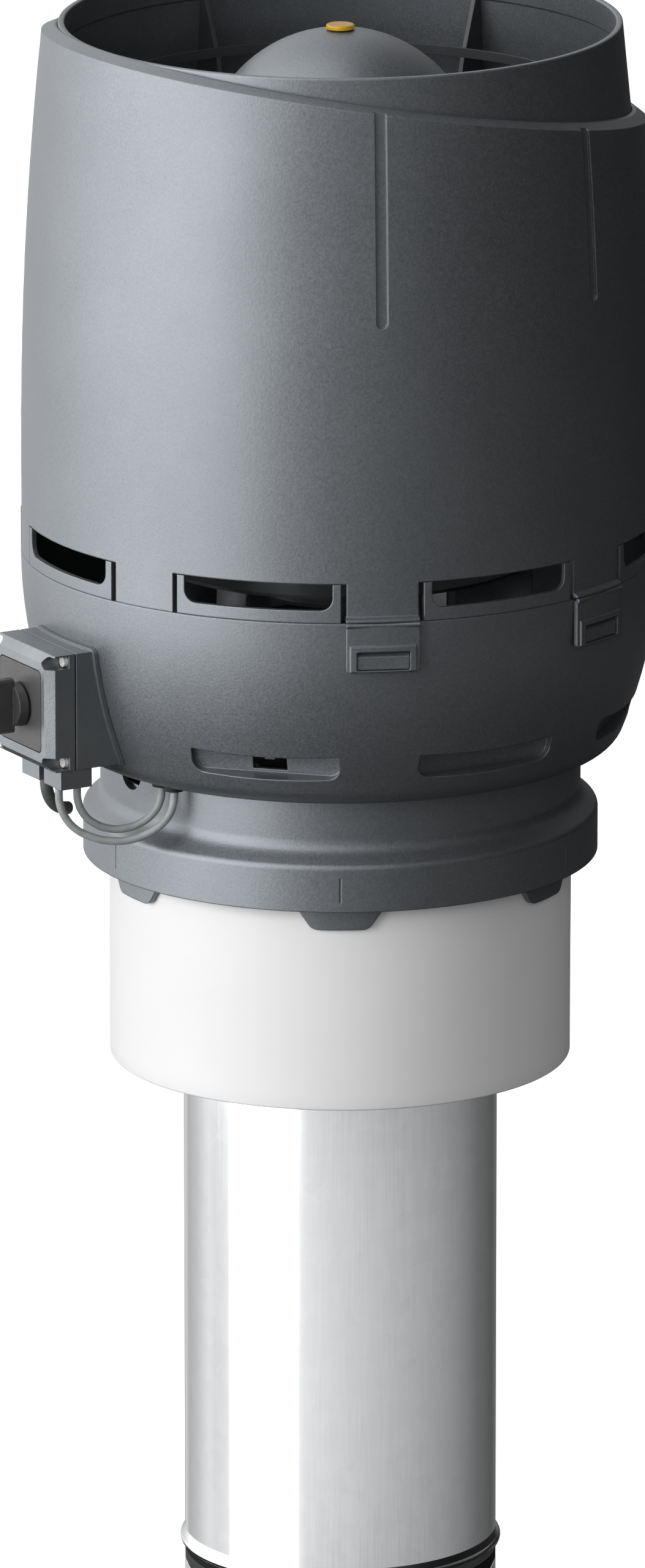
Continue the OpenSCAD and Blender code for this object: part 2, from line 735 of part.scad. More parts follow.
module motor_support() {
    top = dome_seat;
    color([0.3, 0.32, 0.34]) difference() {
        union() {
            rotate_extrude() polygon([[0, support_z], [hub_r0, support_z],
                [dome_r, top - 70], [dome_r, top], [dome_r - hub_wall, top],
                [dome_r - hub_wall, top - 69], [hub_r0 - hub_wall, support_z + hub_floor],
                [0, support_z + hub_floor]]);
            rotate_extrude() polygon(rounded(rect(guide_r, guide_r + 2.5, guide_z, guide_z + guide_h),
                [0, 1, 1, 0], 3));
            difference() {
                for (a = web_as) at(a) {
                    translate([0, web_t / 2, 0]) rotate([90, 0, 0])
                        linear_extrude(web_t) web_outline();
                    translate([foot_r - 7, -foot_w / 2, foot_z]) cube([12.4, foot_w, foot_h]);
                }
                rotate_extrude() polygon([[0, support_z - 40], [hub_r0 - 1, support_z - 40],
                    [hub_r0 - 1, support_z], [dome_r - 1, top - 70], [dome_r - 1, top + 20],
                    [0, top + 20]]);
            }
        }
        translate([0, 0, support_z - 1])
            cylinder(r = bearing_r + 2, h = hub_floor + 2, $fn = small_fn);
        motor_holes(support_z - 1, hub_floor + 2, screw_gap);
        support_holes(foot_z - 1, foot_h + 2);
    }
}

// Motor dome: a ball-shaped crown that runs into a straight flank, with a spigot in the hub
module dome_section(d) {
    k = 14;
    low = [dome_r - d / sin(dome_angle), dome_seat];
    polygon(concat([[0, dome_seat - 1]], [[low[0], dome_seat - 1]], [low],
        arc(0, dome_centre, dome_arc - d, 90 - dome_angle, 90, k), [[0, dome_seat]]));
}
spigot_h = 7;
module motor_dome() {
    color([0.38, 0.4, 0.42]) difference() {
        union() {
            difference() {
                rotate_extrude() dome_section(0);
                translate([0, 0, -eps]) rotate_extrude() dome_section(dome_wall);
                translate([0, 0, dome_seat - 5]) cylinder(r = dome_r + 5, h = 5);
            }
            rotate_extrude() polygon(rect(dome_r - hub_wall - seat_gap - 2.5,
                dome_r - hub_wall - seat_gap, dome_seat - spigot_h, dome_seat + 2.6));
        }
        translate([0, 0, dome_top - 20]) cylinder(r = plug_stem + 0.1, h = 30, $fn = small_fn);
    }
}
plug_stem = 4;
plug_h = 3.2;
module dome_plug() {
    z = dome_top - plug_r * plug_r / (2 * dome_arc) + 1;
    color([0.85, 0.6, 0.1]) {
        rotate_extrude($fn = small_fn) polygon(concat([[0, z]],
            rounded([[plug_r, z], [plug_r, dome_top + plug_h], [0, dome_top + plug_h]],
                [0, 1.2, 0])));
        translate([0, 0, dome_top - 8]) cylinder(r = plug_stem, h = 10, $fn = small_fn);
    }
}

// Motor: flange and bearing tube, wound core, bearings and screws
motor_screw_r = 2.5;
motor_bolt_r = 38;
motor_bolts = 4;
tube_wall = 4;
tube_r = bearing_r + tube_wall;
tube_z = can_z + plate_t + 3;
module motor_holes(z, h, gap) {
    for (i = [0:motor_bolts - 1]) at((i + 0.5) * 360 / motor_bolts)
        translate([motor_bolt_r, 0, z])
            cylinder(r = motor_screw_r + gap, h = h, $fn = small_fn);
}
module motor_screws() {
    color("silver") for (i = [0:motor_bolts - 1]) at((i + 0.5) * 360 / motor_bolts)
        translate([motor_bolt_r, 0, support_z + hub_floor])
            screw(motor_screw_r, hub_floor + flange_t - 1, 4.6, 3);
}
module motor_flange() {
    color("gray") difference() {
        union() {
            translate([0, 0, flange_z]) cylinder(r = can_r - 1, h = flange_t);
            translate([0, 0, tube_z]) cylinder(r = tube_r, h = flange_z - tube_z + 1);
        }
        translate([0, 0, tube_z - 1]) cylinder(r = bearing_r, h = 200, $fn = 96);
        motor_holes(flange_z - 1, flange_t + 2, 0.1);
    }
}
can_wall = 4;
core_r = can_r - can_wall - 4;
core_z = can_z + plate_t + 6;
module stator_core() {
    slot_count = 12;
    color([0.6, 0.3, 0.15]) difference() {
        translate([0, 0, core_z]) cylinder(r = core_r, h = can_top - 3 - core_z);
        translate([0, 0, core_z - 1])
            cylinder(r = tube_r + 0.05, h = 100);
        for (i = [0:slot_count - 1]) at(i * 360 / slot_count)
            translate([core_r - 5, -1.5, core_z - 1]) cube([10, 3, 100]);
    }
}
module bearing(z) {
    color("silver") translate([0, 0, z]) difference() {
        cylinder(r = bearing_r - 0.02, h = bearing_h, $fn = 96);
        translate([0, 0, -1]) cylinder(r = shaft_r, h = bearing_h + 2, $fn = 96);
        for (s = [-eps, bearing_h - 0.5]) translate([0, 0, s]) difference() {
            cylinder(r = bearing_r - 2.2, h = 0.5 + eps, $fn = 96);
            translate([0, 0, -1]) cylinder(r = shaft_r + 2, h = 3, $fn = 96);
        }
    }
}
lower_bearing_z = tube_z + 1;
upper_bearing_z = support_z - bearing_h - 3;
module lower_bearing() {
    bearing(lower_bearing_z);
}
module upper_bearing() {
    bearing(upper_bearing_z);
}

// Rotor: can with a mounting rim, shaft and retaining ring
can_rim = 9;
module rotor_can() {
    color([0.75, 0.76, 0.78]) rotate_extrude() polygon([[shaft_r + 0.02, can_z], [can_r - 3, can_z],
        [can_r, can_z + 3], [can_r, back_z + plate_t], [can_r + can_rim, back_z + plate_t],
        [can_r + can_rim, back_z + plate_t + 3], [can_r, back_z + plate_t + 3], [can_r, can_top],
        [can_r - can_wall, can_top], [can_r - can_wall, can_z + plate_t + 2],
        [shaft_r + 5, can_z + plate_t + 2], [shaft_r + 0.02, can_z + plate_t + 2]]);
}
ring_z = upper_bearing_z + bearing_h + 0.3;
module motor_shaft() {
    color("silver") difference() {
        translate([0, 0, can_z]) cylinder(r = shaft_r - run_gap, h = support_z + 3 - can_z, $fn = 96);
        translate([0, 0, ring_z]) difference() {
            cylinder(r = shaft_r + 2, h = 1.2, $fn = 96);
            translate([0, 0, -1]) cylinder(r = shaft_r - 0.8, h = 4, $fn = 96);
        }
    }
}
module retaining_ring() {
    color([0.3, 0.3, 0.32]) translate([0, 0, ring_z + 0.1]) difference() {
        cylinder(r = shaft_r + 2.4, h = 1, $fn = 96);
        translate([0, 0, -1]) cylinder(r = shaft_r - 0.75, h = 3, $fn = 96);
        translate([0, -1.5, -1]) cube([20, 3, 4]);
    }
}

// Impeller: back plate, backward-curved blades between it and a dished shroud
shroud_rise = 12;
eye_h = 12;
shroud_in = [eye_r + 6, shroud_z - shroud_rise];
module shroud_line(d) {
    polygon(concat([[0, shroud_z - 60], [eye_r + d, shroud_z - 60],
        [eye_r + d, shroud_z - shroud_rise - 4]],
        [[shroud_in[0] + d * 0.4, shroud_in[1] + d], [impeller_r + 1, shroud_z + d],
            [impeller_r + 1, back_z + 40], [0, back_z + 40]]));
}
module impeller_back_plate() {
    color([0.75, 0.76, 0.78]) difference() {
        translate([0, 0, back_z]) cylinder(r = impeller_r, h = plate_t);
        translate([0, 0, back_z - 1]) cylinder(r = can_r + 0.1, h = plate_t + 2);
        rivet_holes(back_z - 1, plate_t + 2);
    }
}
blade_in = eye_r - 4;
blade_lean = 58;
module blade_outline() {
    // The blade's arc meets the eye at blade_in and leans back against the turning
    c = [blade_in + blade_arc * cos(blade_lean), -blade_arc * sin(blade_lean)];
    intersection() {
        difference() {
            translate(c) circle(r = blade_arc + blade_t / 2);
            translate(c) circle(r = blade_arc - blade_t / 2);
        }
        difference() {
            circle(r = impeller_r);
            circle(r = blade_in);
        }
        translate([0, -20]) square([impeller_r + 5, impeller_r + 20]);
    }
}
module impeller_blades() {
    color([0.78, 0.79, 0.8]) intersection() {
        translate([0, 0, shroud_in[1]]) linear_extrude(back_z - shroud_in[1])
            for (i = [0:blade_count - 1]) rotate([0, 0, i * 360 / blade_count]) blade_outline();
        rotate_extrude() shroud_line(plate_t);
    }
}
module impeller_shroud() {
    color([0.75, 0.76, 0.78]) intersection() {
        difference() {
            rotate_extrude() shroud_line(0);
            rotate_extrude() shroud_line(plate_t);
        }
        difference() {
            translate([0, 0, shroud_z - shroud_rise - eye_h])
                cylinder(r = impeller_r, h = shroud_rise + eye_h + plate_t);
            cylinder(r = eye_r, h = tall);
        }
    }
}
rivet_ring = 6;
module rivet_holes(z, h) {
    for (i = [0:rivet_ring - 1]) at(i * 360 / rivet_ring)
        translate([can_r + can_rim / 2 + 0.5, 0, z]) cylinder(r = 1.8, h = h, $fn = small_fn);
}
module impeller_rivets() {
    color("silver") for (i = [0:rivet_ring - 1]) at(i * 360 / rivet_ring)
        translate([can_r + can_rim / 2 + 0.5, 0, back_z]) {
            translate([0, 0, 0.05]) cylinder(r = 1.7, h = plate_t - 0.05, $fn = small_fn);
            translate([0, 0, -1.2]) cylinder(r1 = 2.4, r2 = 3.4, h = 1.2, $fn = small_fn);
        }
}

// Latch: a tongue that hangs from a rolled root under the hood and hooks under the catch
latch_z = rim_z - latch_h;
hook_gap = 0.4;
raised = 1.2;
module latch() {
    open_z0 = catch_z - hook_gap;
    open_z1 = catch_top + 0.6;
    open_w = catch_w / 2 + 0.4;
    color([0.33, 0.35, 0.37]) difference() {
        union() {
            intersection() {
                rotate_extrude() polygon([[latch_r0, latch_z], [latch_r0 + latch_t, latch_z],
                    [latch_r0 + latch_t, hinge_z], [latch_r0, hinge_z]]);
                push_out(rim_r - 20, 60) polygon(rounded(
                    rect(-latch_w / 2, latch_w / 2, latch_z, hinge_z), [2, 2, 0, 0], 4));
            }
            intersection() {
                rotate_extrude() polygon([[latch_r0 + 0.5, latch_z + 0.5],
                    [latch_r0 + latch_t + raised, latch_z + 0.9],
                    [latch_r0 + latch_t + raised, open_z1 + 3.2], [latch_r0 + 0.5, open_z1 + 4.4]]);
                push_out(rim_r - 20, 60) polygon(rounded(
                    rect(-open_w - 4, open_w + 4, latch_z, open_z1 + 5), [1.5, 1.5, 1, 1], 4));
            }
            translate([hinge_r, latch_w / 2, hinge_z]) rotate([90, 0, 0])
                cylinder(r = hinge_bead, h = latch_w, $fn = small_fn);
        }
        push_out(rim_r - 20, 60) polygon(rounded(rect(-open_w, open_w, open_z0, open_z1),
            [1, 1, 1, 1], 3));
    }
}
module latch_front_left() {
    at(latch_as[0]) latch();
}
module latch_front_right() {
    at(latch_as[1]) latch();
}
module latch_rear_left() {
    at(latch_as[2]) latch();
}
module latch_rear_right() {
    at(latch_as[3]) latch();
}

// Switch box. Its depth runs along X, and its back follows the bowl
box_z0 = collar_z + box_z;
box_z1 = box_z0 + box_h;
box_mid = box_z0 + box_h / 2;
split_x = box_x - cover_d;
module box_prism(d, x_front) {
    rotate([90, 0, 0]) translate([0, 0, -box_w / 2 + d]) linear_extrude(box_w - 2 * d)
        polygon([[-x_front, box_z0 + d], [-x_front, box_z1 - d],
            [-neck_r, box_z1 - d], [-neck_r, box_z0 + d]]);
}
back_gap = 0.2;
back_t = 3;
module bowl_grown(d) {
    rotate_extrude() polygon(concat([[0, rim_z + 30], [rim_r + d, rim_z + 30], [rim_r + d, rim_z]],
        bowl_path(-d, neck_r + lip_gap), [[0, under_at(neck_r + lip_gap, -d)]]));
}
boss_r = 4.2;
boss_in = 5;
box_corners = [for (s = [-1, 1], z = [box_z0 + boss_in, box_z1 - boss_in])
    [s * (box_w / 2 - boss_in), z]];
box_screw_y = 18;
box_screw_z = box_mid + 16;
box_screw_r = 2.2;
module box_screw_holes() {
    for (s = [-1, 1]) translate([-rim_r - 6, s * box_screw_y, box_screw_z])
        rotate([0, 90, 0]) cylinder(r = box_screw_r + screw_gap, h = 20, $fn = small_fn);
}
module box_screws() {
    y = box_screw_y;
    bowl_r = side_c[0] + sqrt(pow(side_arc, 2) - pow(rim_z - box_screw_z + 4, 2));
    x = sqrt(bowl_r * bowl_r - y * y) + back_gap + back_t + 2;
    color("silver") for (s = [-1, 1]) translate([-x, s * y, box_screw_z]) rotate([0, -90, 0])
        screw(box_screw_r, back_t + wall + 5, 4, 2.4);
}
flange_out = 1.5;
flange_corner = 4;
module flange() {
    w = box_w / 2 + flange_out;
    translate([-split_x, 0, 0]) rotate([90, 0, 90]) linear_extrude(split_x - neck_r)
        polygon(rounded(rect(-w, w, box_z0 - flange_out, box_z1 + flange_out),
            [for (i = [0:3]) flange_corner], 4));
}
module switch_box_base() {
    color([0.42, 0.44, 0.46]) difference() {
        union() {
            difference() {
                box_prism(0, split_x);
                bowl_grown(back_gap);
                difference() {
                    box_prism(box_wall, split_x + 1);
                    bowl_grown(back_gap + back_t);
                    for (c = box_corners) translate([-split_x - 2, c[0], c[1]])
                        rotate([0, 90, 0]) cylinder(r = boss_r, h = 80, $fn = small_fn);
                }
            }
            difference() {
                intersection() {
                    flange();
                    bowl_grown(back_gap + back_t);
                }
                bowl_grown(back_gap);
            }
        }
        for (c = box_corners) translate([-split_x - 1, c[0], c[1]])
            rotate([0, 90, 0]) cylinder(r = 1.6, h = 13, $fn = small_fn);
        box_screw_holes();
        cable_entries();
    }
}
module cable_entries() {
    translate([supply_at[0], supply_at[1], box_z0 - 1])
        cylinder(r = elbow_r + screw_gap, h = box_wall + 2, $fn = small_fn);
    for (p = cable_starts) translate([p[0], p[1], box_z0 - 1])
        cylinder(r = cable_r + screw_gap, h = box_wall + 2, $fn = small_fn);
}

// Switch box cover: chamfered front, a recess for the switch plate, and slots over the screws
slot_r = 4;
slot_d = 15;
module chamfered(d, x0, x1) {
    w = box_w / 2 - d;
    c = cover_chamfer;
    z0 = box_z0 + d;
    z1 = box_z1 - d;
    intersection() {
        translate([0, 0, z0]) linear_extrude(z1 - z0) polygon([[-x0, -w], [-x0, w],
            [-x1 + c, w], [-x1, w - c], [-x1, c - w], [-x1 + c, -w]]);
        rotate([90, 0, 0]) translate([0, 0, -w]) linear_extrude(2 * w) polygon([[-x0, z0],
            [-x1 + c, z0], [-x1, z0 + c], [-x1, z1 - c], [-x1 + c, z1], [-x0, z1]]);
    }
}
module screw_slots(d) {
    for (c = box_corners) {
        side = sign(c[0]) * (box_w / 2 + 2);
        translate([-box_x - 5, 0, 0]) rotate([90, 0, 90]) linear_extrude(5 + slot_d + d) union() {
            translate(c) circle(r = slot_r + d, $fn = small_fn);
            polygon(rect(min(c[0], side), max(c[0], side), c[1] - slot_r - d, c[1] + slot_r + d));
        }
    }
}
module plate_outline(grow) {
    w = plate_w / 2 + grow;
    polygon(rounded(rect(-w, w, box_mid - w, box_mid + w), [for (i = [0:3]) 3 + grow], 4));
}
plate_gap = 0.6;
switch_neck_r = 10;
gasket_t = 1;
cover_x = split_x + gasket_t;
module switch_box_cover() {
    color([0.45, 0.47, 0.49]) difference() {
        difference() {
            chamfered(0, cover_x, box_x);
            screw_slots(0);
        }
        difference() {
            chamfered(box_wall, cover_x - 1, box_x - box_wall);
            screw_slots(box_wall);
            translate([-box_x, 0, 0]) rotate([90, 0, 90])
                linear_extrude(switch_plate_t + box_wall) plate_outline(box_wall);
        }
        translate([-box_x - 1, 0, 0]) rotate([90, 0, 90])
            linear_extrude(switch_plate_t + 1) plate_outline(plate_gap);
        translate([-box_x - 1, 0, box_mid]) rotate([0, 90, 0]) cylinder(
            r = switch_neck_r + seat_gap, h = switch_plate_t + box_wall + 2, $fn = small_fn);
        for (c = box_corners) translate([-box_x - 1, c[0], c[1]])
            rotate([0, 90, 0]) cylinder(r = 1.75 + screw_gap, h = 40, $fn = small_fn);
        cable_entries();
    }
}
module cover_screws() {
    color("silver") for (c = box_corners) translate([-box_x + slot_d, c[0], c[1]])
        rotate([0, -90, 0]) screw(1.55, cover_d - slot_d + 9, 3.4, 2.6);
}
module box_gasket() {
    color([0.1, 0.1, 0.1]) difference() {
        box_frame(split_x, gasket_t);
        for (c = box_corners) translate([-split_x - 3, c[0], c[1]])
            rotate([0, 90, 0]) cylinder(r = 1.6 + screw_gap, h = 8, $fn = small_fn);
        cable_entries();
    }
}
module box_frame(x, t) {
    translate([-x - t, 0, 0]) rotate([90, 0, 90]) linear_extrude(t) difference() {
        polygon(rect(-box_w / 2 + 0.6, box_w / 2 - 0.6, box_z0 + 0.6, box_z1 - 0.6));
        difference() {
            polygon(rect(box_wall - box_w / 2, box_w / 2 - box_wall,
                box_z0 + box_wall, box_z1 - box_wall));
            for (c = box_corners) translate(c) circle(r = boss_r, $fn = small_fn);
        }
    }
}

// Switch: plate, body with a neck through the cover, knob with a bar handle, and spindle
switch_plate_t = 2.5;
switch_neck_out = 1;
switch_body_w = 36;
switch_body_d = 22;
module switch_plate() {
    color([0.22, 0.22, 0.23]) difference() {
        translate([-box_x, 0, 0]) rotate([90, 0, 90]) linear_extrude(switch_plate_t)
            plate_outline(0);
        translate([-box_x - 10, 0, box_mid]) rotate([0, 90, 0])
            cylinder(r = switch_neck_r + seat_gap, h = 20, $fn = small_fn);
    }
}
module switch_body() {
    front = box_x - switch_plate_t - box_wall - 0.1;
    w = switch_body_w / 2;
    color([0.2, 0.2, 0.2]) difference() {
        union() {
            translate([-front, -w, box_mid - w]) cube([switch_body_d, 2 * w, 2 * w]);
            translate([-box_x - switch_neck_out, 0, box_mid]) rotate([0, 90, 0])
                cylinder(r = switch_neck_r, h = box_x + switch_neck_out - front + 1,
                    $fn = small_fn);
        }
        translate([-box_x - 10, 0, box_mid]) rotate([0, 90, 0])
            cylinder(r = spindle_r, h = 28, $fn = 96);
    }
}
knob_x = box_x + switch_neck_out + 0.5;
knob_t = 6;
handle_t = 8;
handle_d = 18.5;
module switch_knob() {
    color([0.18, 0.18, 0.19]) difference() {
        union() {
            translate([-knob_x - knob_t, 0, box_mid]) rotate([0, 90, 0])
                cylinder(r1 = knob_r - 1, r2 = knob_r, h = knob_t, $fn = 96);
            translate([-knob_x - knob_t - handle_d, 0, 0]) rotate([90, 0, 90])
                linear_extrude(handle_d + 1) polygon(rounded(rect(-handle_t / 2, handle_t / 2,
                    box_mid - handle_l / 2, box_mid + handle_l / 2), [2.5, 2.5, 2.5, 2.5], 4));
        }
        translate([-knob_x - knob_t, 0, box_mid]) rotate([0, 90, 0])
            cylinder(r = spindle_r + 0.02, h = knob_t + 1, $fn = 96);
    }
}
module switch_spindle() {
    color("silver") translate([-knob_x - knob_t + 1, 0, box_mid]) rotate([0, 90, 0])
        cylinder(r = spindle_r - run_gap, h = knob_t + 14, $fn = 96);
}
terminal = [15, 40, 11];
terminal_x = 205;
terminal_rise = 3;
terminal_step = 12;
terminal_hole_r = 2.4;
module terminal_block() {
    z0 = box_z0 + box_wall + terminal_rise;
    color([0.9, 0.9, 0.85]) difference() {
        translate([-terminal_x, -terminal[1] / 2, z0]) cube(terminal);
        for (i = [-1:1]) translate([-terminal_x + 4.5, i * terminal_step, z0 + 3])
            cylinder(r = terminal_hole_r, h = terminal[2], $fn = small_fn);
        bowl_grown(back_gap + back_t + 0.2);
    }
}

// Glands under the box, and the rubber elbow that guides the supply cable in
gland_w = 22;
supply_at = [-box_x + 20.7, 5.1];
motor_at = [-box_x + 20, -box_w / 2 + 11.5];
gland_z = box_z0 - gland_h;
module gland_block(p, holes) {
    color([0.42, 0.44, 0.46]) difference() {
        translate([p[0] - gland_w / 2, p[1] - gland_w / 2, gland_z])
            cube([gland_w, gland_w, gland_h]);
        for (h = holes) translate([h[0], h[1], gland_z - 1])
            cylinder(r = h[2], h = gland_h + 2, $fn = small_fn);
    }
}
module supply_gland_block() {
    gland_block(supply_at, [[supply_at[0], supply_at[1], elbow_r + elbow_step + 0.05]]);
}
module motor_gland_block() {
    gland_block(motor_at, [for (p = cable_starts) [p[0], p[1], cable_r + 0.1]]);
}
elbow_drop = 4.4;
elbow_turn = 20;
elbow_angle = 78;
elbow_end = 4;
elbow_step = 0.1;
elbow_lap = 1;
module elbow_shape(r, past) {
    z0 = gland_z - elbow_drop;
    z1 = box_z0 + box_wall + 1 + past;
    translate([supply_at[0], supply_at[1], z0]) rotate([0, 0, elbow_turn]) {
        cylinder(r = r + elbow_step, h = z1 - z0, $fn = small_fn);
        translate([elbow_bend, 0, 0]) rotate([90, 0, 0]) {
            rotate([0, 0, 180 - elbow_lap]) rotate_extrude(angle = elbow_angle + 2 * elbow_lap)
                translate([elbow_bend, 0]) circle(r = r, $fn = small_fn);
            rotate([0, 0, 180 + elbow_angle]) translate([elbow_bend, 0, 0]) rotate([-90, 0, 0])
                cylinder(r = r + elbow_step, h = elbow_end + past, $fn = small_fn);
        }
    }
}
module supply_grommet() {
    color([0.12, 0.13, 0.13]) difference() {
        elbow_shape(elbow_r, 0);
        elbow_shape(elbow_r - elbow_wall, 1);
    }
}

// Cables: two grey leads that loop from the gland block up into the bowl
cable_r = 2.5;
cable_grommet_r = 6;
cable_starts = [[motor_at[0] - 6.5, motor_at[1]], [motor_at[0] + 6.5, motor_at[1]]];
cable_ends = [[-152, -55], [-153, -41]];
cable_top = collar_z + 90;
outer_route = [[-217.5, -24.5, 586], [-217.5, -24.5, 578], [-217.5, -24.5, 570],
    [-217, -24.5, 562], [-214, -25.8, 553], [-208, -28.3, 545], [-199, -32.3, 539.5],
    [-188, -37.5, 536.5], [-177, -43, 537], [-167, -48, 541], [-159, -52, 547],
    [-154, -54.5, 555], [-152, -55, 564], [-152, -55, 577], [-152, -55, 590]];
inner_route = [[-204.5, -24.5, 586], [-204.5, -24.5, 578], [-204.5, -24.5, 570],
    [-204, -24.5, 562], [-200.5, -25.5, 553], [-194, -27.6, 546.5], [-185, -30.4, 542.5],
    [-175, -33.5, 542], [-166, -36.8, 545], [-158.5, -39.5, 551], [-154, -40.8, 559],
    [-153, -41, 568], [-153, -41, 579], [-153, -41, 590]];
module cable_outer() {
    color([0.6, 0.62, 0.63]) tube(outer_route, [0.48, -0.88, 0], cable_r);
}
module cable_inner() {
    color([0.6, 0.62, 0.63]) tube(inner_route, [0.35, -0.94, 0], cable_r);
}
module cable_grommets() {
    color([0.1, 0.1, 0.1]) for (p = cable_ends) difference() {
        translate([p[0], p[1], floor_z - 1]) cylinder(r = cable_grommet_r, h = 12, $fn = small_fn);
        translate([p[0], p[1], floor_z - 5]) cylinder(r = cable_r + 0.1, h = 30, $fn = small_fn);
    }
}

// Plug and socket that part when the hood lifts off, and the motor's own lead
socket = [35, 32, 20];
socket_at = [-166, -64];
plug = [18, 20, 14];
plug_gap = 0.3;
plug_z = cable_top + socket[2];
pins_at = [-153, -50];
pin_step = 5;
pin_r = 1.2;
leg = [8, 8];
leg_at = [-139, -40];
module connector_socket() {
    color([0.15, 0.15, 0.16]) difference() {
        union() {
            translate([socket_at[0], socket_at[1], cable_top]) cube(socket);
            translate([leg_at[0], leg_at[1], floor_top])
                cube([leg[0], leg[1], cable_top - floor_top + 1]);
        }
        for (i = [-1:1]) translate([pins_at[0] + i * pin_step, pins_at[1], plug_z - 8])
            cylinder(r = pin_r + 0.3, h = 10, $fn = small_fn);
    }
}
module connector_plug() {
    color([0.2, 0.2, 0.21]) union() {
        translate([pins_at[0] - plug[0] / 2, pins_at[1] - plug[1] / 2, plug_z + plug_gap])
            cube(plug);
        for (i = [-1:1]) translate([pins_at[0] + i * pin_step, pins_at[1], plug_z - 6])
            cylinder(r = pin_r, h = 8, $fn = small_fn);
    }
}
lead_route = [[-153, -50, plug_z + plug_gap + plug[2]], [-153, -50, 630], [-153, -50, 645],
    [-153, -50, 660], [-153, -50, 675], [-153, -50, 690], [-152, -49.5, 704], [-149, -48.5, 716], [-142, -46, 726],
    [-132, -43, 732.5], [-120, -39, 735.5], [-106, -34.5, 736], [-90, -29, 736], [-74, -24, 736],
    [-60, -19.5, 736], [-52.3, -17, 736]];
module motor_lead() {
    color([0.3, 0.3, 0.3]) tube(lead_route, [0.31, -0.95, 0], 3);
}

steel_duct();
duct_seal();
insulation_jacket();
insulation_core();
neck_collar();
duct_rivets();
base_bowl();
window_frames();
collar_screws();
inlet_nozzle();
nozzle_screws();
switch_box_base();
switch_box_cover();
box_gasket();
cover_screws();
box_screws();
switch_plate();
switch_body();
terminal_block();
supply_gland_block();
motor_gland_block();
supply_grommet();
cable_outer();
cable_inner();
cable_grommets();
connector_socket();
switch_knob();
switch_spindle();
outer_hood();
outlet_ring();
motor_support();
support_screws();
motor_dome();
dome_plug();
motor_flange();
stator_core();
lower_bearing();
upper_bearing();
motor_screws();
motor_lead();
connector_plug();
rotor_can();
motor_shaft();
retaining_ring();
impeller_back_plate();
impeller_blades();
impeller_shroud();
impeller_rivets();
latch_front_left();
latch_front_right();
latch_rear_left();
latch_rear_right();
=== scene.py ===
# A roof exhaust fan: a moulded hood and bowl round a motor and impeller, on an insulated duct.
# It is dressed here in the order in which it is put together.
import json
import math

import bpy
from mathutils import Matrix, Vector, noise

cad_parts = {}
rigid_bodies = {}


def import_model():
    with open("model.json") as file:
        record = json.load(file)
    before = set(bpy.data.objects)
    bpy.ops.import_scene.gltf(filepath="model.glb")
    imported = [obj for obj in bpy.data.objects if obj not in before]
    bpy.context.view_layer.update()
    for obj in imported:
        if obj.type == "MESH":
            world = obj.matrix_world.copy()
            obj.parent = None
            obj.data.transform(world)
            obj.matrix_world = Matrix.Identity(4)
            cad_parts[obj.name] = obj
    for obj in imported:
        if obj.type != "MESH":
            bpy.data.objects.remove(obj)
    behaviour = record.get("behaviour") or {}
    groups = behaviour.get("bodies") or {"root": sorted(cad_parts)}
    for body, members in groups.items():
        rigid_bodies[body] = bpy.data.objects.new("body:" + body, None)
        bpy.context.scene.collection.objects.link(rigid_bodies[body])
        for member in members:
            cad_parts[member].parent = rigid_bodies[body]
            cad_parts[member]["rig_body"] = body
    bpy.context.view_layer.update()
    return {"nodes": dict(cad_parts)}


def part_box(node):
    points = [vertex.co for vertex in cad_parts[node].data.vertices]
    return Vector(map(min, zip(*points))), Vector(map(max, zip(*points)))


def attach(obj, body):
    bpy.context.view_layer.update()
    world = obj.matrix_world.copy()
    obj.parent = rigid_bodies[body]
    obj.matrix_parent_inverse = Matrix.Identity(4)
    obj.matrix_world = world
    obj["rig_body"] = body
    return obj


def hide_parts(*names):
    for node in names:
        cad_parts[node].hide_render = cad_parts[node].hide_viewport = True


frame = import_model()
bpy.ops.object.select_all(action="DESELECT")

# Camera: a long lens from the front left, a little above the hood's rim.
AIM = Vector((0, 0, 0.5396))
CAMERA_RISE = math.radians(14.95)
CAMERA_TURN = math.radians(30)
CAMERA_DISTANCE = 9.14
to_camera = Vector((
    -math.sin(CAMERA_TURN) * math.cos(CAMERA_RISE),
    -math.cos(CAMERA_TURN) * math.cos(CAMERA_RISE),
    math.sin(CAMERA_RISE),
))
bpy.ops.object.camera_add(
    location=AIM + to_camera * CAMERA_DISTANCE,
    rotation=(math.pi / 2 - CAMERA_RISE, 0, -CAMERA_TURN),
)
camera = bpy.context.object
camera.data.lens = 330.5
camera.data.sensor_width = 36
camera.data.shift_x = -0.0114
camera.data.clip_end = 200
bpy.context.scene.camera = camera


# The two supply cables hang in a loop from the switch box's glands to the bowl's grommets,
# and the motor lead rises from the connector to the motor's dome. All are round PVC sheath.
def linear(code):
    """An sRGB hex colour as the linear RGBA that a shader takes."""
    channels = [int(code[i:i + 2], 16) / 255 for i in (0, 2, 4)]
    return [
        c / 12.92 if c <= 0.04045 else ((c + 0.055) / 1.055) ** 2.4 for c in channels
    ] + [1]


def node(material, kind, inputs=None, stops=None, **settings):
    """Adds a node to a material, with its settings, the values or links of its inputs, and
    a colour ramp's stops."""
    made = material.node_tree.nodes.new(kind)
    for name, value in settings.items():
        setattr(made, name, value)
    for name, value in (inputs or {}).items():
        if isinstance(value, bpy.types.NodeSocket):
            material.node_tree.links.new(value, made.inputs[name])
        else:
            made.inputs[name].default_value = value
    if stops:
        elements = made.color_ramp.elements
        while len(elements) > 1:
            elements.remove(elements[-1])
        elements[0].position, elements[0].color = stops[0]
        for place, colour in stops[1:]:
            elements.new(place).color = colour
    return made


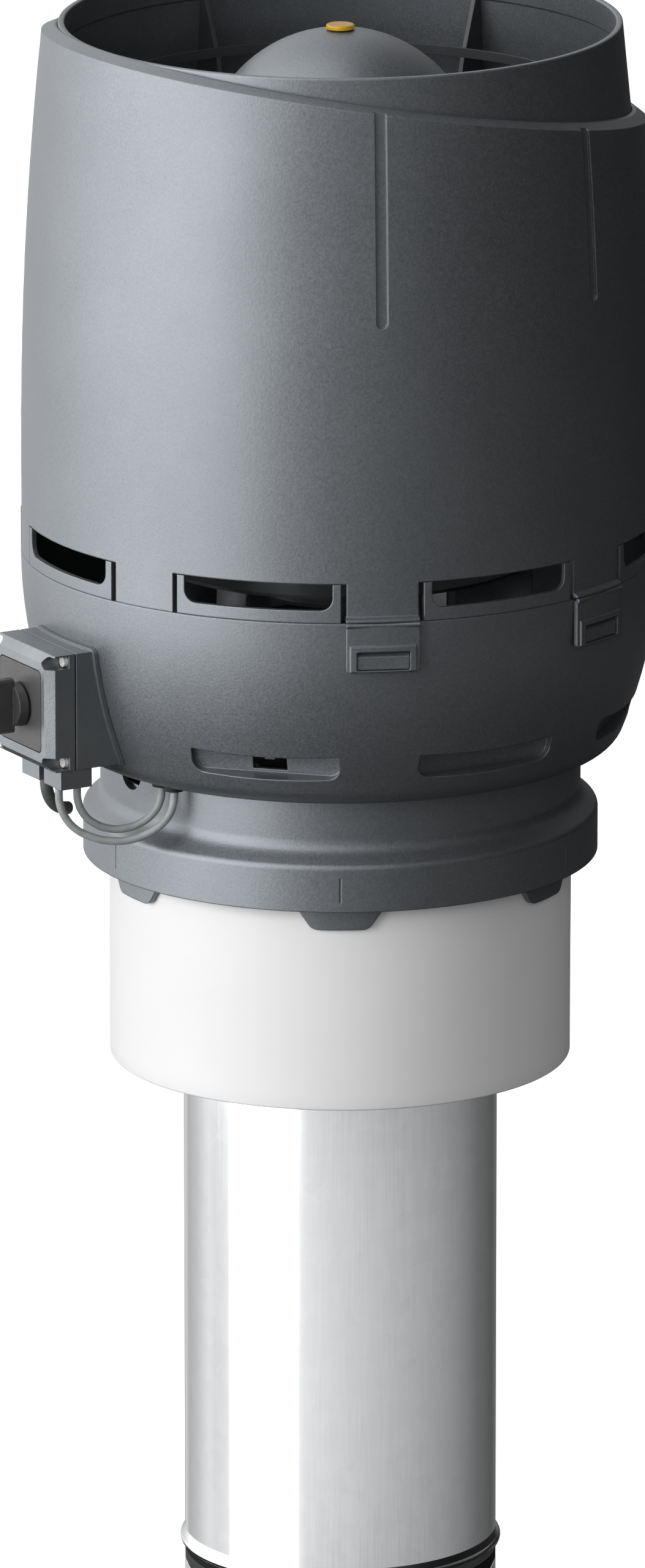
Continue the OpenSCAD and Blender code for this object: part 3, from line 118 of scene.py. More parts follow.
def new_material(name):
    """An empty node material and its output node."""
    material = bpy.data.materials.new(name)
    material.use_nodes = True
    material.node_tree.nodes.clear()
    return material, node(material, "ShaderNodeOutputMaterial")


def finish_surface(material, output, inputs):
    """Puts the shader of a surface on a material's output."""
    shader = node(material, "ShaderNodeBsdfPrincipled", inputs)
    material.node_tree.links.new(shader.outputs[0], output.inputs["Surface"])
    return material


def moulded(name, low, high, mottle_mm, grain_mm, grain_depth, roughness, metallic=0.0,
            specular=0.5, edge_mm=0.0):
    """Injection-moulded or extruded plastic: a faint cloudiness of colour between two shades,
    a fine moulded grain in the surface, and a roughness that varies with it."""
    material, output = new_material(name)
    place = node(material, "ShaderNodeTexCoord").outputs["Object"]
    cloud = node(material, "ShaderNodeTexNoise", {
        "Vector": place, "Scale": 1000 / mottle_mm, "Detail": 3, "Roughness": 0.6})
    colour = node(material, "ShaderNodeValToRGB", {"Fac": cloud.outputs["Fac"]},
                  stops=[(0.32, linear(low)), (0.68, linear(high))])
    grain = node(material, "ShaderNodeTexNoise", {
        "Vector": place, "Scale": 1000 / grain_mm, "Detail": 2, "Roughness": 0.6})
    gloss = node(material, "ShaderNodeMapRange", {
        "Value": grain.outputs["Fac"], "From Min": 0.3, "From Max": 0.7,
        "To Min": roughness - 0.05, "To Max": roughness + 0.05})
    bump = node(material, "ShaderNodeBump", {
        "Height": grain.outputs["Fac"], "Strength": grain_depth, "Distance": grain_mm / 4000})
    if edge_mm:
        rounded = node(material, "ShaderNodeBevel", {"Radius": edge_mm / 1000}, samples=4)
        material.node_tree.links.new(rounded.outputs[0], bump.inputs["Normal"])
    return finish_surface(material, output, {
        "Base Color": colour.outputs["Color"], "Roughness": gloss.outputs["Result"],
        "Metallic": metallic, "Specular IOR Level": specular, "Normal": bump.outputs["Normal"]})


def smooth_route(name, points_mm, diameter_mm, material, body, replaced):
    """A round cable on one smooth curve through its route, given in millimetres."""
    bpy.ops.curve.primitive_bezier_curve_add()
    cable = bpy.context.object
    cable.name = cable.data.name = name
    spline = cable.data.splines[0]
    spline.bezier_points.add(len(points_mm) - len(spline.bezier_points))
    for knot, point in zip(spline.bezier_points, points_mm):
        knot.co = Vector(point) / 1000
        knot.handle_left_type = knot.handle_right_type = "AUTO"
    cable.data.resolution_u = 8
    cable.data.bevel_depth = diameter_mm / 2000
    cable.data.bevel_resolution = 5
    cable.data.use_fill_caps = True
    cable.data.materials.append(material)
    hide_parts(replaced)
    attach(cable, body)
    cable.select_set(False)
    return cable


CABLE_MM = 5
LEAD_MM = 6
OUTER_ROUTE = [
    (-217.5, -24.5, 586), (-217.5, -24.5, 578), (-217.5, -24.5, 570), (-217, -24.5, 562),
    (-214, -25.8, 553), (-208, -28.3, 545), (-199, -32.3, 539.5), (-188, -37.5, 536.5),
    (-177, -43, 537), (-167, -48, 541), (-159, -52, 547), (-154, -54.5, 555),
    (-152, -55, 564), (-152, -55, 577), (-152, -55, 590),
]
INNER_ROUTE = [
    (-204.5, -24.5, 586), (-204.5, -24.5, 578), (-204.5, -24.5, 570), (-204, -24.5, 562),
    (-200.5, -25.5, 553), (-194, -27.6, 546.5), (-185, -30.4, 542.5), (-175, -33.5, 542),
    (-166, -36.8, 545), (-158.5, -39.5, 551), (-154, -40.8, 559), (-153, -41, 568),
    (-153, -41, 579), (-153, -41, 590),
]
LEAD_ROUTE = [
    (-153, -50, 624.3), (-153, -50, 630), (-153, -50, 645), (-153, -50, 660),
    (-153, -50, 675), (-153, -50, 690), (-152, -49.5, 704), (-149, -48.5, 716),
    (-142, -46, 726), (-132, -43, 732.5), (-120, -39, 735.5), (-106, -34.5, 736),
    (-90, -29, 736), (-74, -24, 736), (-60, -19.5, 736), (-52.3, -17, 736),
]
# Grey PVC sheath, extruded: matt with a soft sheen, a little dusty
cable_grey = moulded("extruded grey PVC sheath", "8E9293", "A3A7A8", 9, 0.9, 0.25, 0.48)
# Black PVC sheath: darker and a little glossier
cable_black = moulded("extruded black PVC sheath", "17181A", "26282A", 9, 0.9, 0.2, 0.42)
outer_cable = smooth_route(
    "outer_supply_cable", OUTER_ROUTE, CABLE_MM, cable_grey, "base",
    "cable_outer")
inner_cable = smooth_route(
    "inner_supply_cable", INNER_ROUTE, CABLE_MM, cable_grey, "base",
    "cable_inner")
lead = smooth_route(
    "motor_lead_cable", LEAD_ROUTE, LEAD_MM, cable_black, "hood", "motor_lead")

# Studio: a white floor, a large soft box at the left and reflecting walls for the metal.
# The walls are only seen in reflections: bright at the left, dark at the right.
FLOOR_RADIUS = 40
WALL_RADIUS = 6
WALL_LOW, WALL_HIGH = -4.5, 7.0
# How bright the white room is as a light; the camera and mirrors see it at full strength
ROOM_LIGHT = 0.26
bpy.context.scene.view_settings.view_transform = "Standard"

world = bpy.data.worlds.new("studio")
bpy.context.scene.world = world
world.use_nodes = True
world.node_tree.nodes.clear()
world_path = node(world, "ShaderNodeLightPath")
seen = node(world, "ShaderNodeMath", {
    0: world_path.outputs["Is Camera Ray"], 1: world_path.outputs["Is Glossy Ray"]},
    operation="MAXIMUM")
seen = node(world, "ShaderNodeMath", {
    0: seen.outputs[0], 1: world_path.outputs["Is Transmission Ray"]}, operation="MAXIMUM")
world_light = node(world, "ShaderNodeMapRange", {
    "Value": seen.outputs[0], "To Min": ROOM_LIGHT, "To Max": 1.0})
world_back = node(world, "ShaderNodeBackground", {
    "Color": [1, 1, 1, 1], "Strength": world_light.outputs["Result"]})
node(world, "ShaderNodeOutputWorld", {"Surface": world_back.outputs[0]})

bpy.ops.mesh.primitive_circle_add(vertices=96, radius=FLOOR_RADIUS, fill_type="NGON")
floor = bpy.context.object
floor.name = "studio_floor"
floor_paint, floor_out = new_material("matt white studio floor")
floor_path = node(floor_paint, "ShaderNodeLightPath")
floor_tone = node(floor_paint, "ShaderNodeMapRange", {
    "Value": floor_path.outputs["Is Camera Ray"], "To Min": 0.2, "To Max": 0.88})
floor_base = node(floor_paint, "ShaderNodeBsdfDiffuse", {"Color": floor_tone.outputs["Result"]})
floor_lift = node(floor_paint, "ShaderNodeEmission", {
    "Color": [1, 1, 1, 1], "Strength": floor_path.outputs["Is Camera Ray"]})
floor_sum = node(floor_paint, "ShaderNodeAddShader", {
    0: floor_base.outputs[0], 1: floor_lift.outputs[0]})
floor_paint.node_tree.links.new(floor_sum.outputs[0], floor_out.inputs["Surface"])
floor.data.materials.append(floor_paint)
floor.visible_glossy = False

bpy.ops.object.select_all(action="DESELECT")
bpy.ops.mesh.primitive_cylinder_add(
    vertices=128, radius=WALL_RADIUS, depth=WALL_HIGH - WALL_LOW, end_fill_type="NGON",
    location=(0, 0, (WALL_HIGH + WALL_LOW) / 2))
wall = bpy.context.object
wall.name = "reflecting_walls"
bpy.ops.object.transform_apply(location=True)
wall_paint, wall_out = new_material("lit studio walls")
# Angle round the object from the camera's side, as a share of a full turn from behind it
wall_place = node(wall_paint, "ShaderNodeMapping", {
    "Vector": node(wall_paint, "ShaderNodeTexCoord").outputs["Object"],
    "Rotation": (0, 0, -math.pi / 2 - CAMERA_TURN)}, vector_type="TEXTURE")
wall_turn = node(wall_paint, "ShaderNodeTexGradient", {
    "Vector": wall_place.outputs[0]}, gradient_type="RADIAL")


def only_mirrored(thing):
    """Leaves a staged thing to be seen in mirror reflections only."""
    for ray in ("camera", "diffuse", "transmission", "volume_scatter", "shadow"):
        setattr(thing, "visible_" + ray, False)


def turn_share(degrees):
    """The place on the walls' ramp of a direction, in degrees from the camera's to the right."""
    return (degrees / 360 + 0.5) % 1


def grey(value):
    """A neutral shade of that strength."""
    return [value, value, value, 1]


# Radiance by direction, in degrees from the camera's side to the right: what the hood
# mirrors from the upper walls, and what the duct mirrors from a band below the floor's level
WALL_STRENGTH = 3.6
HOOD_LIGHT = [
    (-179, 0.35), (-150, 0.9), (-120, 1.9), (-100, 2.8), (-88, 3.6), (-34, 3.6), (-24, 0.5),
    (0, 0.19), (40, 0.02), (90, 0.01), (150, 0.02), (178, 0.2),
]
DUCT_LIGHT = [
    (-179, 0.3), (-170, 0.5), (-162, 0.72), (-150, 0.5), (-131, 0.66), (-121, 0.83),
    (-113, 0.95), (-105, 0.86), (-90, 0.95), (-84, 3.6), (-35, 3.6), (-31, 1.05),
    (-24, 1.0), (2, 0.83), (20, 0.72), (48, 0.56), (79, 0.4), (121, 0.17), (150, 0.1),
    (178, 0.2),
]
# What surfaces that face up mirror from the walls' top and the ceiling
SKY_LIGHT = [
    (-179, 0.9), (-150, 1.4), (-120, 2.4), (-88, 3.6), (-34, 3.6), (-22, 1.8), (0, 1.0),
    (20, 0.5), (40, 0.2), (90, 0.04), (150, 0.2), (178, 0.9),
]
CAP_LIGHT = 0.03
SKY_FROM, SKY_TO = 1.6, 3.0
# Where the walls change, as heights: the dark low cap, the duct's band and the hood's
WALL_STEPS = [(-2.06, 0), (-2.0, 1), (-1.3, 1), (-1.2, 0.5)]
wall_ramps = [
    node(wall_paint, "ShaderNodeValToRGB", {"Fac": wall_turn.outputs["Fac"]},
         stops=[(turn_share(a), grey(v / WALL_STRENGTH)) for a, v in lights])
    for lights in (HOOD_LIGHT, DUCT_LIGHT, SKY_LIGHT)
]
wall_axes = node(wall_paint, "ShaderNodeSeparateXYZ", {"Vector": wall_place.outputs[0]})
wall_rise = node(wall_paint, "ShaderNodeMapRange", {
    "Value": wall_axes.outputs["Z"], "From Min": WALL_LOW, "From Max": WALL_HIGH})
wall_zone = node(wall_paint, "ShaderNodeValToRGB", {"Fac": wall_rise.outputs["Result"]},
                 stops=[((z - WALL_LOW) / (WALL_HIGH - WALL_LOW), grey(v))
                        for z, v in WALL_STEPS])
wall_links = wall_paint.node_tree.links


def wall_mix(value, start, end, low, high):
    """Mixes two shades as a value goes from one number to another."""
    share = node(wall_paint, "ShaderNodeMapRange", {
        "Value": value, "From Min": start, "From Max": end})
    mixed = node(wall_paint, "ShaderNodeMix", data_type="RGBA")
    wall_links.new(share.outputs["Result"], mixed.inputs[0])
    for place, shade in ((6, low), (7, high)):
        if isinstance(shade, list):
            mixed.inputs[place].default_value = shade
        else:
            wall_links.new(shade, mixed.inputs[place])
    return mixed.outputs[2]


wall_level = wall_zone.outputs["Color"]
wall_colour = wall_mix(
    wall_level, 0, 0.5, grey(CAP_LIGHT / WALL_STRENGTH), wall_ramps[0].outputs["Color"])
wall_colour = wall_mix(wall_level, 0.5, 1, wall_colour, wall_ramps[1].outputs["Color"])
wall_colour = wall_mix(
    wall_axes.outputs["Z"], SKY_FROM, SKY_TO, wall_colour, wall_ramps[2].outputs["Color"])
wall_glow = node(wall_paint, "ShaderNodeEmission", {
    "Color": wall_colour, "Strength": WALL_STRENGTH})
wall_links.new(wall_glow.outputs[0], wall_out.inputs["Surface"])
wall.data.materials.append(wall_paint)
only_mirrored(wall)


def soft_box(name, turn, rise, distance, width, height, level):
    """An area lamp that faces the hood, at an angle from the camera's side and a height.
    Its level is how bright it makes a white card that faces it."""
    away = Vector((
        math.sin(turn - CAMERA_TURN) * math.cos(rise),
        -math.cos(turn - CAMERA_TURN) * math.cos(rise),
        math.sin(rise),
    ))
    bpy.ops.object.light_add(type="AREA", location=AIM + away * distance)
    lamp = bpy.context.object
    lamp.name = name
    lamp.rotation_euler = away.to_track_quat("Z", "Y").to_euler()
    lamp.data.shape = "RECTANGLE"
    lamp.data.size, lamp.data.size_y = width, height
    lamp.data.energy = level * (math.pi * distance) ** 2
    lamp.visible_glossy = False
    return lamp


# A round panel overhead, towards the left, which only reflections see: it lights the rims,
# the shoulders and every edge that faces up
PANEL_RADIUS = 2.6
PANEL_PLACE = (-2.1, 0.3, WALL_HIGH - 0.6)
PANEL_LEVEL = 2.0
bpy.ops.mesh.primitive_circle_add(
    vertices=64, radius=PANEL_RADIUS, fill_type="NGON", location=PANEL_PLACE)
panel = bpy.context.object
panel.name = "overhead_panel"
bpy.ops.object.transform_apply(location=True)
panel_paint, panel_out = new_material("lit overhead panel")
panel_glow = node(panel_paint, "ShaderNodeEmission", {
    "Color": grey(1), "Strength": PANEL_LEVEL})
panel_paint.node_tree.links.new(panel_glow.outputs[0], panel_out.inputs["Surface"])
panel.data.materials.append(panel_paint)
only_mirrored(panel)

soft_box("soft_box_left", math.radians(-57), math.radians(12), 4.0, 3.2, 2.6, 0.82)
soft_box("soft_box_front", math.radians(0), math.radians(20), 5.0, 2.4, 2.0, 0.15)
bpy.ops.object.select_all(action="DESELECT")


def dress(slot, material):
    """Gives a material to every CAD node of one slot."""
    for piece in frame["nodes"].values():
        for held in piece.material_slots:
            if held.material and held.material.name.split(".")[0] == slot:
                held.material = material


# The duct is a length of galvanised sheet, rolled and riveted, with a rubber lip seal.
duct_steel, duct_out = new_material("bright galvanised sheet")
# Zinc on drawn steel: a clear mirror with soft lengthways haze and faint large spangle
steel_place = node(duct_steel, "ShaderNodeTexCoord").outputs["Object"]
drawn = node(duct_steel, "ShaderNodeMapping", {"Vector": steel_place, "Scale": (1, 1, 0.03)})
streaks = node(duct_steel, "ShaderNodeTexNoise", {
    "Vector": drawn.outputs[0], "Scale": 1000 / 1.6, "Detail": 3, "Roughness": 0.6})
spangle = node(duct_steel, "ShaderNodeTexVoronoi", {
    "Vector": steel_place, "Scale": 1000 / 11, "Randomness": 1.0})
clouds = node(duct_steel, "ShaderNodeTexNoise", {
    "Vector": steel_place, "Scale": 1000 / 60, "Detail": 3})
steel_tone = node(duct_steel, "ShaderNodeMath", {
    0: spangle.outputs["Color"], 1: clouds.outputs["Fac"]}, operation="MULTIPLY")
steel_colour = node(duct_steel, "ShaderNodeValToRGB", {"Fac": steel_tone.outputs[0]},
                    stops=[(0.05, linear("E2E4E6")), (0.5, linear("E6E8EA"))])
steel_gloss = node(duct_steel, "ShaderNodeMapRange", {
    "Value": streaks.outputs["Fac"], "From Min": 0.3, "From Max": 0.7,
    "To Min": 0.09, "To Max": 0.12})
steel_bump = node(duct_steel, "ShaderNodeBump", {
    "Height": streaks.outputs["Fac"], "Strength": 0.012, "Distance": 0.0004})
finish_surface(duct_steel, duct_out, {
    "Base Color": steel_colour.outputs["Color"], "Metallic": 1.0,
    "Roughness": steel_gloss.outputs["Result"], "Normal": steel_bump.outputs["Normal"]})
dress("duct_steel", duct_steel)
# EPDM rubber, moulded: dark, matt, with a dusty bloom
dress("rubber", moulded("moulded EPDM rubber", "131414", "1E1F20", 14, 0.8, 0.3, 0.7,
                        specular=0.35))

# The supply cable's elbow under the left gland block is a thinner rubber than the seal,
# grey-green and paler with bloom.
elbow_rubber = moulded("grey-green bloomed rubber", "4B514D", "5A605C", 12, 0.8, 0.3, 0.55,
                       specular=0.4)
frame["nodes"]["supply_grommet"].material_slots[0].material = elbow_rubber

# The insulation is a thick sleeve of pressed mineral wool in a thin white sheet jacket,
# rolled round it and closed by a seam at the back. Its lower edge is softened.
jacket_low, jacket_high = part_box("insulation_jacket")
JACKET_T = 0.0012
JACKET_ROUND = 0.0015
ROUND_STEPS = 4
WALL_BANDS = 24
SEAM_TURN, SEAM_WIDTH = math.radians(70), 0.03
WAVE_DEPTH, SEAM_DEPTH = 0.0006, 0.0007
bpy.ops.mesh.primitive_circle_add(vertices=160, radius=jacket_high.x - JACKET_ROUND,
                                  location=(0, 0, jacket_low.z))
jacket = bpy.context.object
jacket.name = jacket.data.name = "white_jacket"
bpy.ops.object.transform_apply(location=True)
bpy.ops.object.mode_set(mode="EDIT")
bpy.ops.mesh.select_all(action="SELECT")
radius_now = jacket_high.x - JACKET_ROUND
for step in range(1, ROUND_STEPS + 1):
    angle = math.pi / 2 * step / ROUND_STEPS
    radius_next = jacket_high.x - JACKET_ROUND * (1 - math.sin(angle))
    rise = JACKET_ROUND * (math.cos(angle - math.pi / 2 / ROUND_STEPS) - math.cos(angle))
    bpy.ops.mesh.extrude_edges_move(TRANSFORM_OT_translate={"value": (0, 0, rise)})
    bpy.ops.transform.resize(value=(radius_next / radius_now, radius_next / radius_now, 1),
                             center_override=(0, 0, 0))
    radius_now = radius_next
band = (jacket_high.z - jacket_low.z - JACKET_ROUND) / WALL_BANDS
for _ in range(WALL_BANDS):
    bpy.ops.mesh.extrude_edges_move(TRANSFORM_OT_translate={"value": (0, 0, band)})
bpy.ops.object.mode_set(mode="OBJECT")
# The sheet isn't quite true: a fraction of a millimetre in and out, drawn in at the seam
for vertex in jacket.data.vertices:
    turn = math.atan2(vertex.co.y, vertex.co.x)
    seam = math.exp(-((math.remainder(turn - SEAM_TURN, math.tau) / SEAM_WIDTH) ** 2))
    wave = 0.5 + 0.28 * math.sin(3 * turn + 9 * vertex.co.z)
    wave += 0.22 * math.sin(7 * turn - 21 * vertex.co.z + 1)
    inward = WAVE_DEPTH * wave + SEAM_DEPTH * seam
    shrink = 1 - inward / vertex.co.xy.length
    vertex.co.x *= shrink
    vertex.co.y *= shrink
jacket_wall = jacket.modifiers.new("sheet", "SOLIDIFY")
jacket_wall.thickness = JACKET_T
jacket_wall.offset = -1
bpy.ops.object.modifier_apply(modifier="sheet")
bpy.ops.object.shade_smooth_by_angle(angle=math.radians(50))
jacket.select_set(False)
# Calendered PVC sheet: an even soft white with a faint sheen, hardly any grain and slow waves
white_sheet, sheet_out = new_material("white calendered PVC sheet")
sheet_place = node(white_sheet, "ShaderNodeTexCoord").outputs["Object"]
sheet_cloud = node(white_sheet, "ShaderNodeTexNoise", {
    "Vector": sheet_place, "Scale": 1000 / 90, "Detail": 4, "Roughness": 0.55})
sheet_colour = node(white_sheet, "ShaderNodeValToRGB", {"Fac": sheet_cloud.outputs["Fac"]},
                    stops=[(0.3, linear("F3F3F4")), (0.7, linear("F7F7F7"))])
sheet_grain = node(white_sheet, "ShaderNodeTexNoise", {
    "Vector": sheet_place, "Scale": 1000 / 1.2, "Detail": 2})
sheet_bump = node(white_sheet, "ShaderNodeBump", {
    "Height": sheet_grain.outputs["Fac"], "Strength": 0.08, "Distance": 0.0003})
waves = node(white_sheet, "ShaderNodeBump", {
    "Height": sheet_cloud.outputs["Fac"], "Strength": 0.1, "Distance": 0.002,
    "Normal": sheet_bump.outputs["Normal"]})
sheet_gloss = node(white_sheet, "ShaderNodeMapRange", {
    "Value": sheet_grain.outputs["Fac"], "To Min": 0.48, "To Max": 0.62})
finish_surface(white_sheet, sheet_out, {
    "Base Color": sheet_colour.outputs["Color"], "Roughness": sheet_gloss.outputs["Result"],
    "Specular IOR Level": 0.35, "Normal": waves.outputs["Normal"]})
jacket.data.materials.append(white_sheet)
dress("jacket", white_sheet)
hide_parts("insulation_jacket")
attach(jacket, "base")

# Mineral wool: ochre fibres pressed into a board, fluffy and quite matt
wool, wool_out = new_material("pressed mineral wool")
wool_place = node(wool, "ShaderNodeTexCoord").outputs["Object"]
wool_flat = node(wool, "ShaderNodeMapping", {"Vector": wool_place, "Scale": (1, 1, 4)})
fibres = node(wool, "ShaderNodeTexNoise", {
    "Vector": wool_flat.outputs[0], "Scale": 1000 / 5, "Detail": 6, "Roughness": 0.75})
wool_colour = node(wool, "ShaderNodeValToRGB", {"Fac": fibres.outputs["Fac"]},
                   stops=[(0.25, linear("8E8458")), (0.5, linear("B5AA7A")),
                          (0.8, linear("D6CDA2"))])
wool_bump = node(wool, "ShaderNodeBump", {
    "Height": fibres.outputs["Fac"], "Strength": 0.8, "Distance": 0.002})
finish_surface(wool, wool_out, {
    "Base Color": wool_colour.outputs["Color"], "Roughness": 0.95,
    "Specular IOR Level": 0.1, "Normal": wool_bump.outputs["Normal"]})
dress("mineral_wool", wool)

# The wool is a closed ring, cut square, whose fibres stand out unevenly at its edges
wool_low, wool_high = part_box("insulation_core")
WOOL_BORE = 0.1003
SAME_POINT = 0.00005
WOOL_SOFT = 0.004
WOOL_RINGS = 6
WOOL_LAYERS = 20
# How near a point lies to the wool's outside or end to count as on it
WOOL_NEAR = 0.0005
wool_wall = wool_high.x - WOOL_BORE
bpy.ops.mesh.primitive_circle_add(vertices=128, radius=WOOL_BORE, location=(0, 0, wool_low.z))
wool_sleeve = bpy.context.object
wool_sleeve.name = wool_sleeve.data.name = "wool_sleeve"
bpy.ops.object.transform_apply(location=True)
bpy.ops.object.mode_set(mode="EDIT")
bpy.ops.mesh.select_all(action="SELECT")
radius_now = WOOL_BORE
WOOL_TURNS = (
    [(wool_wall / WOOL_RINGS, 0)] * WOOL_RINGS
    + [(0, (wool_high.z - wool_low.z) / WOOL_LAYERS)] * WOOL_LAYERS
    + [(-wool_wall / WOOL_RINGS, 0)] * WOOL_RINGS
    + [(0, -(wool_high.z - wool_low.z) / WOOL_LAYERS)] * WOOL_LAYERS
)
for outward, upward in WOOL_TURNS:
    bpy.ops.mesh.extrude_edges_move(TRANSFORM_OT_translate={"value": (0, 0, upward)})
    scale = (radius_now + outward) / radius_now
    bpy.ops.transform.resize(value=(scale, scale, 1), center_override=(0, 0, 0))
    radius_now += outward
bpy.ops.mesh.select_all(action="SELECT")
bpy.ops.mesh.remove_doubles(threshold=SAME_POINT)
bpy.ops.mesh.normals_make_consistent(inside=False)
bpy.ops.object.mode_set(mode="OBJECT")
# Corners are drawn in, and the whole surface by up to a millimetre, as pressed wool settles
for vertex in wool_sleeve.data.vertices:
    radius = vertex.co.xy.length
    turn = math.atan2(vertex.co.y, vertex.co.x)
    lump = 0.5 + 0.5 * noise.noise(Vector((9 * math.cos(turn), 9 * math.sin(turn),
                                           40 * vertex.co.z + 60 * radius)))
    outer = radius > wool_high.x - WOOL_NEAR
    end = min(vertex.co.z - wool_low.z, wool_high.z - vertex.co.z) < WOOL_NEAR
    drawn_in = WOOL_SOFT * 0.3 * lump + (WOOL_SOFT * 0.5 if outer and end else 0)
    if outer:
        shrink = 1 - drawn_in / radius
        vertex.co.x *= shrink
        vertex.co.y *= shrink
    if end:
        middle = (wool_low.z + wool_high.z) / 2
        vertex.co.z -= math.copysign(drawn_in, vertex.co.z - middle)
bpy.ops.object.shade_smooth_by_angle(angle=math.radians(60))
wool_sleeve.select_set(False)
wool_sleeve.data.materials.append(wool)
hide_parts("insulation_core")
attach(wool_sleeve, "base")

# Neck collar, bowl, window frames, hood, latches, outlet ring and motor dome: one slate grey
# ABS with metal flake, moulded with a fine spark-eroded grain and rounded bright edges.
hood_plastic, hood_out = new_material("slate grey ABS with metal flake")
hood_place = node(hood_plastic, "ShaderNodeTexCoord").outputs["Object"]
hood_cloud = node(hood_plastic, "ShaderNodeTexNoise", {
    "Vector": hood_place, "Scale": 1000 / 70, "Detail": 4, "Roughness": 0.55})
# The real grain is about 0.3 mm; it is drawn at 1.6 mm to show at this distance
hood_grain = node(hood_plastic, "ShaderNodeTexNoise", {
    "Vector": hood_place, "Scale": 1000 / 1.6, "Detail": 2, "Roughness": 0.7})
hood_mix = node(hood_plastic, "ShaderNodeMath", {
    0: hood_grain.outputs["Fac"], 1: 0.75}, operation="MULTIPLY")
hood_sum = node(hood_plastic, "ShaderNodeMath", {
    0: hood_cloud.outputs["Fac"], 1: 0.25, 2: hood_mix.outputs[0]}, operation="MULTIPLY_ADD")
hood_colour = node(hood_plastic, "ShaderNodeValToRGB", {"Fac": hood_sum.outputs[0]},
                   stops=[(0.3, linear("6C7074")), (0.5, linear("767A7E")),
                          (0.7, linear("808488"))])
hood_gloss = node(hood_plastic, "ShaderNodeMapRange", {
    "Value": hood_grain.outputs["Fac"], "From Min": 0.3, "From Max": 0.7,
    "To Min": 0.4, "To Max": 0.5})
hood_edge = node(hood_plastic, "ShaderNodeBevel", {"Radius": 0.0011}, samples=6)
hood_bump = node(hood_plastic, "ShaderNodeBump", {
    "Height": hood_grain.outputs["Fac"], "Strength": 0.22, "Distance": 0.0004,
    "Normal": hood_edge.outputs[0]})
finish_surface(hood_plastic, hood_out, {
    "Base Color": hood_colour.outputs["Color"], "Metallic": 0.8,
    "Roughness": hood_gloss.outputs["Result"], "Specular IOR Level": 0.4,
    "Normal": hood_bump.outputs["Normal"]})
dress("hood_plastic", hood_plastic)


def merged_copy(name):
    """A copy of a CAD node with its loose triangles joined, left active and selected."""
    source = frame["nodes"][name]
    skin = bpy.data.objects.new(name + "_skin", source.data.copy())
    bpy.context.collection.objects.link(skin)
    bpy.context.view_layer.objects.active = skin
    skin.select_set(True)
    bpy.ops.mesh.customdata_custom_splitnormals_clear()
    bpy.ops.object.mode_set(mode="EDIT")
    bpy.ops.mesh.select_all(action="SELECT")
    bpy.ops.mesh.remove_doubles(threshold=0.00001)
    bpy.ops.object.mode_set(mode="OBJECT")
    return skin


def one_skin(skin, name, angle):
    """Shades a moulded curve, which the CAD model makes of narrow bands, as one surface
    between its real edges, and stands it in for its CAD node."""
    bpy.ops.object.shade_smooth_by_angle(angle=math.radians(angle))
    weights = skin.modifiers.new("even shading", "WEIGHTED_NORMAL")
    weights.mode = "FACE_AREA_WITH_ANGLE"
    weights.keep_sharp = True
    bpy.ops.object.modifier_apply(modifier=weights.name)
    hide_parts(name)
    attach(skin, frame["nodes"][name]["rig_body"])
    skin.select_set(False)


for moulding, angle in (("base_bowl", 20), ("outer_hood", 20), ("motor_dome", 25),
                        ("outlet_ring", 25)):
    one_skin(merged_copy(moulding), moulding, angle)

# The collar's shoulder is one flowing surface: a rounded edge, a slope and a long fillet
# into the neck. Steps inwards and upwards from the skirt's edge, in mm.
collar = merged_copy("neck_collar")
EDGE_Z, NECK_Z = 0.5265, 0.5455
# Radii that lie just inside the skirt's edge and just inside the neck's wall
IN_SKIRT, IN_NECK = 0.16, 0.15
SHOULDER_MM = (
    [(-5 + 5 * math.cos(math.radians(a)), 5 * math.sin(math.radians(a)))
     for a in (10, 20, 30, 40, 50, 57)]
    + [(-3.2, 5.0), (-4.4, 6.0), (-6.0, 7.35), (-7.6, 8.8), (-8.9, 10.2), (-9.8, 11.5),
       (-10.5, 13.0), (-10.95, 14.6), (-11.2, 16.0), (-11.38, 17.5)]
)
skirt_edge = [v for v in collar.data.vertices
              if abs(v.co.z - EDGE_Z) < SAME_POINT and v.co.xy.length > IN_SKIRT]
skirt_r = max(v.co.xy.length for v in skirt_edge)


def pick_ring(mesh, low, high, inside):
    """Selects the points between two heights and outside a radius, and what they close."""
    for vertex in mesh.vertices:
        vertex.select = (low - SAME_POINT < vertex.co.z < high + SAME_POINT
                         and vertex.co.xy.length > inside)
    for part in (*mesh.edges, *mesh.polygons):
        part.select = all(mesh.vertices[index].select for index in part.vertices)


pick_ring(collar.data, EDGE_Z, NECK_Z, IN_NECK)
bpy.ops.object.mode_set(mode="EDIT")
bpy.ops.mesh.delete(type="FACE")
bpy.ops.object.mode_set(mode="OBJECT")
pick_ring(collar.data, EDGE_Z, EDGE_Z, IN_SKIRT)
bpy.ops.object.mode_set(mode="EDIT")
inward_now, rise_now = 0, 0
for inward, rise in SHOULDER_MM:
    bpy.ops.mesh.extrude_edges_move(
        TRANSFORM_OT_translate={"value": (0, 0, (rise - rise_now) / 1000)})
    scale = (skirt_r + inward / 1000) / (skirt_r + inward_now / 1000)
    bpy.ops.transform.resize(value=(scale, scale, 1), center_override=(0, 0, 0))
    inward_now, rise_now = inward, rise
# The last ring is bridged to the neck's foot, whose points stand at other angles
bpy.ops.object.mode_set(mode="OBJECT")
pick_ring(collar.data, EDGE_Z + rise_now / 1000, NECK_Z, IN_NECK)
bpy.ops.object.mode_set(mode="EDIT")
bpy.ops.mesh.bridge_edge_loops()
bpy.ops.mesh.select_all(action="SELECT")
bpy.ops.mesh.normals_make_consistent(inside=False)
bpy.ops.object.mode_set(mode="OBJECT")
one_skin(collar, "neck_collar", 48)

